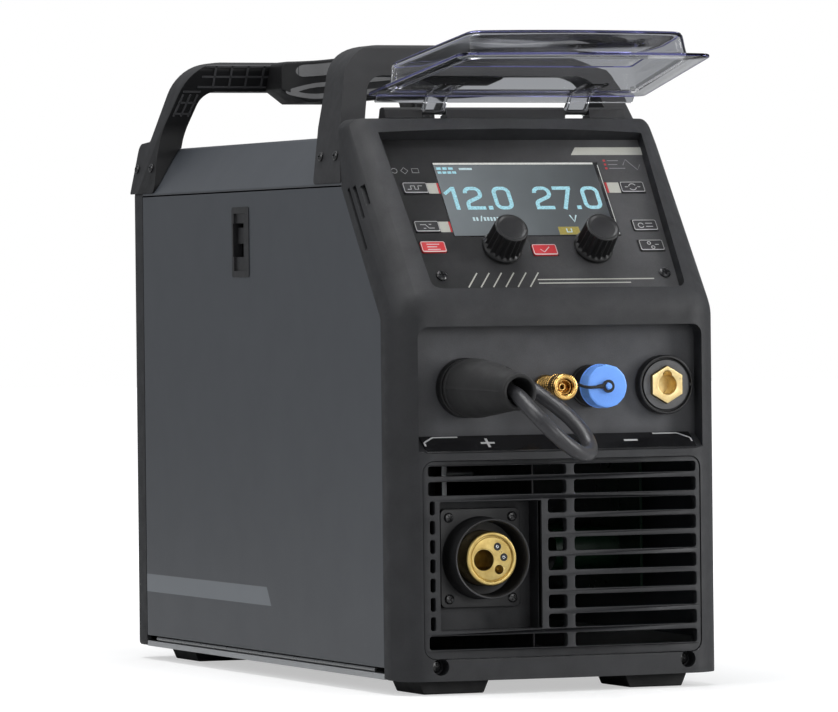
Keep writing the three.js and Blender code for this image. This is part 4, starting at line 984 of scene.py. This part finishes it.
key_bodies = {"key_mode": "mode_key", "key_trigger": "trigger_key", "key_save": "save_key",
              "key_set": "set_key",
              "key_sync": "sync_key", "key_gas": "gas_key", "key_purge": "purge_key"}
red_keys = ["key_save", "key_set"]


def key_cap(node):
    """A membrane key: its cap, a thin outline with a heavier lower edge, and a pictogram."""
    width, height = key_half
    centre = slope.inverted() @ middle(node)
    frame_here = on_slope(centre.x, centre.y)
    red = node in red_keys
    body = key_bodies[node]
    cap = plate([rounded_box(-width, width, -height, height, 1.5)], 15.2, key_top, 0.3, 3)
    piece(node + "_cap", placed(cap, frame_here), red_plastic if red else key_black, body,
          [node])
    edge = plate([rounded_box(-width + 0.3, width - 0.3, -height + 0.25, height - 0.3, 1.3),
                  rounded_box(-width + 0.75, width - 0.75, -height + 1.05, height - 0.75, 0.9)],
                 key_top - 0.1, key_top + 0.06)
    sign = marks(key_marks[node], 0.62, key_top - 0.1, key_top + 0.05)
    piece(node + "_print", placed(joined(edge, sign), frame_here), pale_print if red else key_print, body)


for node in key_bodies:
    key_cap(node)

# ---------- prints on the control overlay ----------

field_left, field_right, field_low, field_high = -58.6, 60.6, 53.0, 114.8


def overlay_prints():
    tabs = [(-67.8, -60.6, 89.9, 99.0, 0), (-67.8, -60.6, 56.3, 65.4, 0), (65.9, 74.8, 89.9, 99.0, 0)]
    silver = patches(tabs, overlay_top - 0.1, overlay_top + 0.05)
    title = plate([[Vector((46, 123.5)), Vector((100.6, 123.5)), Vector((101.1, 130.3)),
                    Vector((50.8, 130.3))]],
                  overlay_top - 0.1, overlay_top + 0.05)
    piece("overlay_silver", placed(joined(silver, title), slope), silver_print)
    bars = [(-60.5, -59.3, 89.9, 99.0, 0), (-60.5, -59.3, 56.3, 65.4, 0), (64.4, 65.7, 89.9, 99.0, 0),
            (68.6, 70.2, 117.6, 119.2, 0), (68.6, 70.2, 114.2, 115.8, 0), (68.6, 70.2, 110.8, 112.4, 0)]
    piece("overlay_red", placed(patches(bars, overlay_top - 0.1, overlay_top + 0.07), slope), red_print)
    lines = [[(71.6, 118.4), (80, 118.4)], [(71.6, 115), (78.6, 115)], [(71.6, 111.6), (83.6, 111.6)],
             [(82.6, 114.4), (85.6, 119.4), (92.6, 110.2), (95.4, 114.8)]]
    lines += [arc(-88.4, 110, 2.1, 0, 360), [(-83.6, 110), (-81, 112.8), (-78.4, 110), (-81, 107.2),
                                             (-83.6, 110)],
              [(-75.4, 108.2), (-75.4, 111.8), (-70.6, 111.8), (-70.6, 108.2), (-75.4, 108.2)]]
    piece("overlay_lines", placed(marks(lines, 0.5, overlay_top - 0.1, overlay_top + 0.05), slope),
          grey_print)
    pins = [[(x, 8.6), (x + 9, 20.8)] for x in range(-60, -14, 9)]
    pins += [[(-8, 14.7), (78, 14.7)], [(-8, 11.6), (60, 11.6)]]
    piece("overlay_pinstripe", placed(marks(pins, 0.9, overlay_top - 0.1, overlay_top + 0.05), slope),
          silver_print)


overlay_prints()
overlay_screw_places = [(-77.3, 18.4), (87.3, 19.3)]
screws("overlay_screws", 4.0, [on_slope(x, s, overlay_top - 0.2) for x, s in overlay_screw_places])

# ---------- display ----------

display_top = 23.1
digit_height, digit_width, stroke = 20.0, 13.6, 2.9


def digit(symbol):
    """Outlines of a numeral in rounded strokes, centred on the origin; each stroke is a list of outlines."""
    top = digit_height / 2
    side = digit_width / 2
    mid = stroke / 2
    if symbol == "0":
        return [[rounded_box(-side, side, -top, top, 5.4, 10),
                 rounded_box(-side + stroke, side - stroke, -top + stroke, top - stroke, 2.6, 10)]]
    if symbol == "1":
        return [[rounded_box(1.4 - mid, 1.4 + mid, -top, top, 0.3, 2)],
                [ribbon([Vector((-5.6, 3.8)), Vector((0.9, 8.9))], stroke * 0.85)]]
    if symbol == "7":
        path = [(-side, top - mid, 0), (side - mid, top - mid, 0.4), (-1.4, -top, 0)]
        bar = ribbon([Vector((-side, top - mid)), Vector((side, top - mid))], stroke)
        return [[bar], [ribbon(rounded(path, 4)[-2:], stroke)]]
    path = [(-side + mid, 4.4, 0), (-side + mid, top - mid, 4), (side - mid, top - mid, 4),
            (side - mid, 1.6, 3.6),
            (-side + mid, -3.6, 3.2), (-side + mid, -top + mid, 0)]
    foot = ribbon([Vector((-side, -top + mid)), Vector((side, -top + mid))], stroke)
    return [[ribbon(rounded(path, 8), stroke)], [foot]]


def display():
    field = plate([rounded_box(field_left, field_right, field_low, field_high, 0.3, 2)],
                  display_top - 0.2, display_top + 0.04)
    piece("display_field", placed(field, slope), lit_field())
    # Painted highlights: glowing strips along the top and right edges of the display's glass.
    edge_highlight = patches([(field_left, field_right - 0.5, field_high + 0.3, field_high + 1.9, 0),
                     (63.1, 63.55, 53.4, 114.5, 0)], display_top - 0.2, display_top + 0.05)
    piece("display_edge_highlight", placed(edge_highlight, slope), glowing("painted_edge_highlight", (0.62, 0.63, 0.6), 1.0))
    parts = []
    for symbol, centre in [("1", -51.2), ("2", -36.2), ("0", -15.0), ("2", 14.9), ("7", 30.4), ("0", 50.8)]:
        for index, outlines in enumerate(digit(symbol)):
            layer = plate(outlines, display_top, display_top + 0.07 + 0.01 * index)
            parts.append(placed(layer, Matrix.Translation((centre, 85.6, 0))))
    dots = [(-27.3, -24.1, 75.6, 78.8, 0), (38.2, 41.4, 75.6, 78.8, 0)]
    parts.append(patches(dots, display_top, display_top + 0.07))
    rows = [(x, x + 3.4, 110.6, 112.8, 0) for x in (-57.2, -52.8, -48.4)]
    rows += [(x, x + 2.8, 107.2, 109.2, 0) for x in (-57.0, -53.4, -49.8, -46.2)]
    parts.append(patches(rows, display_top, display_top + 0.06))
    piece("display_digits", placed(joined(*parts), slope), glowing("digit_light", (0.33, 0.62, 0.71), 1.0,
                                                                   0.14))
    small = [(x, x + 1.5, 65.8, 69.0, 0) for x in (-41.6, -39.2, -33.6, -31.2, -28.8, -26.4, -24.0)]
    small += [(-36.4, -35.4, 65.4, 70.2, 1.2), (-40.6, -31, 110.4, 112.2, 0)]
    signs = joined(patches(small, display_top, display_top + 0.06),
                   marks([[(30.4, 70.4), (32.8, 64.6), (35.2, 70.4)]], 1.1, display_top, display_top + 0.07),
                   marks([[(25, 58.6), (25, 55.6), (28.4, 55.6), (28.4, 58.6)]], 0.9, display_top,
                         display_top + 0.12))
    piece("display_marks", placed(signs, slope), glowing("mark_light", (0.5, 0.66, 0.7), 0.95))
    amber = patches([(19, 34.3, 53.4, 60.2, 0)], display_top, display_top + 0.06)
    piece("display_amber", placed(amber, slope), glowing("amber_light", (0.34, 0.28, 0.06), 0.9))


display()

# ---------- grille insert ----------

grille_half, grille_low, grille_high = 101.5, 24.3, 156.9
slot_pitch, slot_height, first_slot = 12.9, 9.3, 30.5
pocket_box = (-90.5, -17.3, 43.0, 130.0)


def crown(x):
    """Depth of the bezel's bowed front in front of the joint line, for the grille's skin."""
    if abs(x) > 94:
        return 6 + math.sqrt(24.2 ** 2 - (abs(x) - 94) ** 2)
    t = (x + 94) / 188
    return 30.2 + 16 * t * (1 - t)


def slot_box(x0, x1, low, high):
    radius = min(1.9, (x1 - x0) / 2 - 0.3)
    return divided(rounded_box(x0, x1, low, high, radius, 4), 8)[::-1]


def grille():
    """A bowed plate with rounded slots, and the pocket of the torch connector behind it."""
    holes = []
    rows = 10
    for row in range(rows):
        low = first_slot + row * slot_pitch
        high = 153.5 if row == rows - 1 else low + slot_height
        holes.append(slot_box(6.3, 98, low, high))
        if row in (0, 8, 9):
            holes.append(slot_box(-98, 0.6, low, high))
        else:
            holes.append(slot_box(-97, -93.4, low, high))
            holes.append(slot_box(-13, 0.6, low, high))
    x0, x1, z0, z1 = pocket_box
    holes.append(divided(rounded_box(x0, x1, z0, z1, 1.2, 4), 8)[::-1])
    outline = divided(rounded_box(-grille_half, grille_half, grille_low, grille_high, 8, 8), 8)
    skin = plate([outline] + holes, -7.2, 0, 0.35, 2)
    for vertex in skin.vertices:
        vertex.co.z += crown(max(-grille_half, min(grille_half, vertex.co.x)))
    wall = 2
    tray = [brick((x0 - wall, z0 - wall, 11), (x0, z1 + wall, 27), 0.2, 1),
            brick((x1, z0 - wall, 11), (x1 + wall, z1 + wall, 31), 0.2, 1),
            brick((x0, z0 - wall, 11), (x1, z0, 29), 0.2, 1),
            brick((x0, z1, 11), (x1, z1 + wall, 29), 0.2, 1)]
    back = plate([rounded_box(x0 - wall, x1 + wall, z0 - wall, z1 + wall, 0.5, 2),
                  ring(flange_centre.x / MM, flange_centre.z / MM, 19)], 9, 11)
    flat = facing((0, joint_line, 0), front_out)
    return piece("grille_bars", placed(joined(skin, back, *tray), flat), black_moulding,
                 stands_for=["front_grille"])


grille()
screws("bezel_screws", 4.4, [facing((side * 90.5 * MM, joint_line - 20 * MM, 19.2 * MM), front_out)
                             for side in (-1, 1)])

# ---------- polarity strip ----------

strip_back = Vector((0, joint_line - 16.4 * MM, 173.3 * MM))
strip_front = Vector((0, joint_line - 30.8 * MM, 163.4 * MM))
strip_up = (strip_back - strip_front).normalized()
strip_out = Vector((0, -strip_up.z, strip_up.y))
strip_frame = facing((strip_back + strip_front) / 2 + strip_out * 0.02 * MM, strip_out, strip_up)


def strip_marks():
    plus, minus = middle("positive_socket").x / MM + 14, middle("negative_socket").x / MM - 27
    arm = 5
    lines = [[(plus - arm, 0), (plus + arm, 0)], [(plus, -arm), (plus, arm)],
             [(minus - arm, 0), (minus + arm, 0)]]
    signs = marks(lines, 1.8, -0.05, 0.1)
    corners = []
    for side in (-1, 1):
        edge = side * 97.6
        corner = rounded([(edge - side * 26, 7.2, 0), (edge - side * 8, 7.2, 3), (edge, 1.5, 2),
                          (edge, -2.5, 0)], 4)
        corners.append(plate([ribbon(corner, 1.2)], -0.05, 0.1))
    piece("strip_marks", placed(joined(signs, *corners), strip_frame), strip_white)


strip_marks()

# ---------- clear cover ----------

cover_axis = Vector((0, joint_line + 77 * MM, 393.6 * MM))
cover_open = math.radians(61)
cover_base, cover_top, cover_rim = 35.6, 149.0, 2.1
cover_middle = 2.5
open_pose = (Matrix.Translation(cover_axis) @ Matrix.Rotation(-cover_open, 4, "X")
             @ Matrix.Translation(-cover_axis) @ slope)


def curve_to(points, control, end, steps):
    start, pull, stop = points[-1], Vector(control), Vector(end)
    for step in range(1, steps + 1):
        t = step / steps
        points.append(start * (1 - t) ** 2 + pull * 2 * t * (1 - t) + stop * t ** 2)


def tray_ring(inset, height):
    """The cover's outline on the slope drawn in by an inset, as points at one height."""
    middle_x = cover_middle
    low, high = 5 + inset, cover_top - inset
    lower, upper = 92 - inset, 103 - inset
    points = [Vector((middle_x - upper + 6, high))]
    curve_to(points, (middle_x - upper, high), (middle_x - upper, high - 6), 8)
    curve_to(points, ((2 * middle_x - upper - lower) / 2, (high + low + 3) / 2), (middle_x - lower, low + 9),
             6)
    curve_to(points, (middle_x - lower, low), (middle_x - lower + 9, low), 8)
    curve_to(points, (middle_x, low - 6), (middle_x + lower - 9, low), 24)
    curve_to(points, (middle_x + lower, low), (middle_x + lower, low + 9), 8)
    curve_to(points, ((2 * middle_x + upper + lower) / 2, (high + low + 3) / 2),
             (middle_x + upper, high - 6), 6)
    curve_to(points, (middle_x + upper, high), (middle_x + upper - 6, high), 8)
    return [(point.x, point.y, cover_base + height) for point in points]


def lofted(rings, capped=True):
    """A skin over rings of equal count; capped closes the first and the last, otherwise they join."""
    work = bmesh.new()
    rows = [[work.verts.new(point) for point in points] for points in rings]
    count = len(rows[0])
    pairs = list(zip(rows, rows[1:]))
    if not capped:
        pairs.append((rows[-1], rows[0]))
    for lower, upper in pairs:
        for step in range(count):
            after = (step + 1) % count
            work.faces.new([lower[step], lower[after], upper[after], upper[step]])
    if capped:
        work.faces.new(rows[0][::-1])
        work.faces.new(rows[-1])
    bmesh.ops.recalc_face_normals(work, faces=work.faces)
    mesh = bpy.data.meshes.new("loft")
    work.to_mesh(mesh)
    work.free()
    return mesh


def along_x(outline, x0, x1, bevel=0.3):
    """A bar whose section is an outline of (s, d) on the slope."""
    turn = Matrix(((0, 0, 1, 0), (1, 0, 0, 0), (0, 1, 0, 0), (0, 0, 0, 1)))
    return placed(plate([outline], x0, x1, bevel), turn)


def clear_cover():
    outer = [(0.4, 0), (0, 0.4), (0, 1.7), (0.4, 2.1), (8.6, 2.15), (10.4, 2.9), (11.4, 5), (12, 9),
             (12.4, 13.6),
             (12.8, 17.2), (13.8, 19.2), (15.2, 20)]
    inner = [(17.4, 18.1), (15.8, 17.4), (14.8, 15.9), (14.3, 12.6), (13.9, 8.4), (13.4, 4), (12.9, 0.9),
             (12.5, 0)]
    shell = lofted([tray_ring(*level) for level in outer + inner], capped=False)
    work = bmesh.new()
    work.from_mesh(shell)
    work.verts.ensure_lookup_table()
    count = len(tray_ring(0, 0))
    top, under = len(outer) - 1, len(outer)
    joining = [face for face in work.faces
               if {vertex.index // count for vertex in face.verts} == {top, under}]
    bmesh.ops.delete(work, geom=joining, context="FACES_ONLY")
    work.verts.ensure_lookup_table()
    for level in (top, under):
        work.faces.new([work.verts[level * count + step] for step in range(count)])
    bmesh.ops.recalc_face_normals(work, faces=work.faces)
    work.to_mesh(shell)
    work.free()
    axis = slope.inverted() @ cover_axis
    base, rim = cover_base, cover_rim
    lip = along_x([Vector(point) for point in (
        (cover_top - 3, base + 0.1), (cover_top - 1.6, base + 0.1), (cover_top + 3.4, base - 3.8),
        (cover_top + 4.4, base - 2.6), (cover_top - 1, base + rim - 0.1), (cover_top - 3, base + rim - 0.1))],
        cover_middle - 96, cover_middle + 96)
    arms = []
    for centre in (-49.5, 57.0):
        side_view = rounded([
            (cover_top - 34, base + 1.4, 0.5), (cover_top - 4, base + 1.4, 0), (axis.y - 3, axis.z - 0.8, 0),
            (axis.y + 1.8, axis.z - 2.6, 1.5), (axis.y + 3.3, axis.z + 1, 1.2),
            (axis.y - 2.6, axis.z + 3.1, 1.5),
            (cover_top - 4, base + rim + 0.9, 0), (cover_top - 34, base + rim + 0.9, 0.5)], 3)
        web = [Vector(point) for point in (
            (cover_top - 32, base + 1.6), (cover_top - 4.4, base + 1.6), (axis.y - 3.2, axis.z - 0.4),
            (axis.y - 3.2, axis.z + 1.4), (cover_top - 4, base + 2.6), (cover_top - 32, base + 2.6))]
        for x0, x1 in ((-8.4, -6.2), (6.2, 8.4)):
            arms.append(along_x(side_view, centre + x0, centre + x1, 0.35))
        arms.append(along_x(web, centre - 6.4, centre + 6.4, 0.2))
    mesh = placed(joined(shell, lip, *arms), open_pose)
    piece("cover_shell", mesh, clear, "cover", ["clear_cover"], 40)
    edge_section = [(-0.02, 0.5), (-0.02, 1.6), (0.7, 1.6), (0.7, 0.5)]
    edge = lofted([tray_ring(*level) for level in edge_section], capped=False)
    crest_section = [(13.6, 19.1), (14.4, 19.7), (14.4, 18.9), (13.7, 18.4)]
    crest = lofted([tray_ring(*level) for level in crest_section], capped=False)
    piece("cover_edges", placed(joined(edge, crest), open_pose), edge_tint, "cover", (), 40)


clear_cover()

# ---------- handle ----------


hoop_foot_reach, hoop_foot_height, hoop_shoulder_height, hoop_top_height = 119.8, 343.9, 385, 441.5
leg_lean, shoulder_lean = 0.215, 0.297
rear_face_foot, rear_face_drop, rear_face_run = 434, 49.5, 27.5


def leg_reach(z):
    """Half width over a hoop's legs at a height: they lean in, and lean in more above the shoulder."""
    above = max(0, z - hoop_shoulder_height)
    return hoop_foot_reach - (z - above - hoop_foot_height) * leg_lean - above * shoulder_lean


def rear_hoop_ribs():
    """A grid of thin ribs on the rear hoop's inner face, following its bend in two rows."""
    def on_face(x, z):
        y = rear_face_foot + (hoop_top_height - z) * rear_face_run / rear_face_drop - 0.35
        return Vector((x * MM, joint_line + y * MM, z * MM))

    lean = Vector((0, -rear_face_drop, -rear_face_run)).normalized()
    bars = []

    def bar(start, end, width=1.4):
        a, b = on_face(*start), on_face(*end)
        along = (b - a).normalized()
        side = along.cross(lean).normalized() * width / 2 * MM
        rise = lean * 0.5 * MM
        work = bmesh.new()
        corners = [work.verts.new(point) for base in (a, b)
                   for point in (base - side - rise, base + side - rise, base + side + rise,
                                 base - side + rise)]
        for quad in ((0, 1, 2, 3), (7, 6, 5, 4), (0, 4, 5, 1), (1, 5, 6, 2), (2, 6, 7, 3), (3, 7, 4, 0)):
            work.faces.new([corners[i] for i in quad])
        mesh = bpy.data.meshes.new("rib")
        work.to_mesh(mesh)
        work.free()
        bars.append(mesh)

    for z in (423.4, 430.8, 438.2):
        reach = leg_reach(z) - 12
        bar((-reach, z), (reach, z))
    for index in range(-6, 7):
        bar((index * 12.6, 422.6), (index * 12.6, 439))
    for side in (-1, 1):
        for offset in (3.4, 9, 14.6):
            path = [(side * (leg_reach(z) - offset), z) for z in (402, 410, 418)]
            for start, end in zip(path, path[1:]):
                bar(start, end)
        for z in (404, 412, 420):
            bar((side * (leg_reach(z) - 16), z), (side * (leg_reach(z) - 2.4), z))
    return piece("rear_hoop_ribs", joined(*bars), rib_grey)


def flank(y):
    """Half width of the grip's left side in plan, at a distance behind the joint line."""
    if y <= 370:
        return 17.0
    t = (60 - math.sqrt(3600 - 80 * (y - 370))) / 40 if y < 410 else 1.0
    return 17 + 17 * t * t


def grip_inlay_and_highlight():
    """A pale soft patch on the grip's left side, and pale bands round a loop-shaped finger rest as a painted
    highlight on its rim, bent along the side.
    """
    def band(levels):
        rings_here = []
        for y, low, high in levels:
            x = -flank(y)
            rings_here.append([(x - 0.45, y, low), (x - 0.45, y, high), (x + 0.4, y, high),
                               (x + 0.4, y, low)])
        return lofted(rings_here)

    end, reach, low, high = 402, 7, 429.4, 438.2
    centre, half = (low + high) / 2, (high - low) / 2
    levels = []
    for step in range(9):
        angle = math.pi / 2 * step / 8
        levels.append((end - reach + reach * math.cos(angle), centre - half * math.sin(angle) - 0.02,
                       centre + half * math.sin(angle) + 0.02))
    levels += [(y, low, high) for y in (385, 370, 340, 300, 250, 200)]
    patch = band(levels)
    # The finger rest's loop: two pale bands, a painted highlight along its rim.
    loop_end, loop_low, loop_high = 408, 412.6, 424.4
    middle_z, rise = (loop_low + loop_high) / 2, (loop_high - loop_low) / 2
    upper, lower = [], []
    for step in range(17):
        angle = math.pi / 2 * step / 16
        y = loop_end - 34 + 34 * math.cos(angle)
        outer_z = rise * math.sin(angle) + 0.02
        inner_y = max(0.0, 1 - ((y - (loop_end - 34)) / 25) ** 2)
        inner_z = (rise - 3.2) * math.sqrt(inner_y)
        upper.append((y, middle_z + inner_z - 0.01, middle_z + outer_z))
        lower.append((y, middle_z - outer_z, middle_z - inner_z * 0.8 + 0.01))
    for y in (350, 300, 250, 200):
        upper.append((y, middle_z + rise - 3.2, middle_z + rise))
        lower.append((y, middle_z - rise, middle_z - (rise - 3.2) * 0.8))
    to_frame = Matrix.Translation((0, joint_line, 0)) @ Matrix.Scale(MM, 4)
    mesh = placed(joined(patch, band(upper), band(lower)), to_frame)
    return piece("grip_inlay_and_highlight", mesh, inlay_and_highlight_grey)


rear_hoop_ribs()
grip_inlay_and_highlight()
hoop_screw_height = 364
screws("handle_screws", 3.4, [
    facing((side * leg_reach(hoop_screw_height) * MM, joint_line + y * MM, hoop_screw_height * MM),
           (side, 0, leg_lean))
    for side in (-1, 1) for y in (89, 117, 468, 499)])

# ---------- floor and light ----------


def area_light(name, place, target, size, power, tint=(1, 1, 1)):
    data = bpy.data.lights.new(name, "AREA")
    data.shape = "RECTANGLE"
    data.size, data.size_y = size
    data.energy = power
    data.color = tint
    light = link(name, data)
    light.location = place
    light.rotation_mode = "QUATERNION"
    light.rotation_quaternion = (Vector(target) - Vector(place)).to_track_quat("-Z", "Y")


def studio():
    floor_mesh = bpy.data.meshes.new("floor")
    work = bmesh.new()
    bmesh.ops.create_circle(work, cap_ends=True, segments=96, radius=14)
    work.to_mesh(floor_mesh)
    work.free()
    graph = Graph("floor")
    graph.set(Base_Color=graph.blend(graph.noise(3, 3), colour(0.5, 0.5, 0.5), colour(0.54, 0.54, 0.54)))
    graph.set(Roughness=0.8)
    # The floor glows for camera rays only, from half strength near the object to full beyond 1.3 m: far off it
    # is white like the background, and the weaker glow round the object is painted shade.
    x, y = graph.axis(0), graph.axis(1)
    square = graph.math("ADD", graph.math("MULTIPLY", x, x), graph.math("MULTIPLY", y, y))
    far = graph.between(graph.math("SQRT", square), 0.4, 1.3, 0.5, 1.0)
    seen = graph.node("ShaderNodeLightPath").outputs["Is Camera Ray"]
    graph.set(Emission_Color=colour(1, 1, 1), Emission_Strength=graph.math("MULTIPLY", far, seen))
    floor_mesh.materials.append(graph.material)
    link("floor", floor_mesh)

    world = bpy.data.worlds.new("studio")
    world.use_nodes = True
    tree = world.node_tree
    background = tree.nodes["Background"]
    seen = tree.nodes.new("ShaderNodeBackground")
    seen.inputs["Color"].default_value = (1, 1, 1, 1)
    seen.inputs["Strength"].default_value = 1.0
    background.inputs["Color"].default_value = (0.93, 0.96, 1, 1)
    background.inputs["Strength"].default_value = 0.33
    paths = tree.nodes.new("ShaderNodeLightPath")
    mix = tree.nodes.new("ShaderNodeMixShader")
    tree.links.new(paths.outputs["Is Camera Ray"], mix.inputs[0])
    tree.links.new(background.outputs[0], mix.inputs[1])
    tree.links.new(seen.outputs[0], mix.inputs[2])
    tree.links.new(mix.outputs[0], tree.nodes["World Output"].inputs["Surface"])
    bpy.context.scene.world = world

    area_light("left_softbox", (-2.6, -0.6, 1.9), (0, 0, 0.3), (1.6, 2.0), 27)
    area_light("top_softbox", (-0.3, 0.0, 2.6), (0, 0, 0.25), (2.0, 1.4), 52)
    area_light("front_fill", (0.4, -3.4, 0.8), (0, -0.2, 0.12), (1.6, 1.2), 22)
    area_light("right_strip", (2.2, -1.6, 1.0), (0, -0.2, 0.2), (0.6, 1.8), 50)


studio()
bpy.context.scene.view_settings.view_transform = "Standard"

bpy.context.view_layer.update()
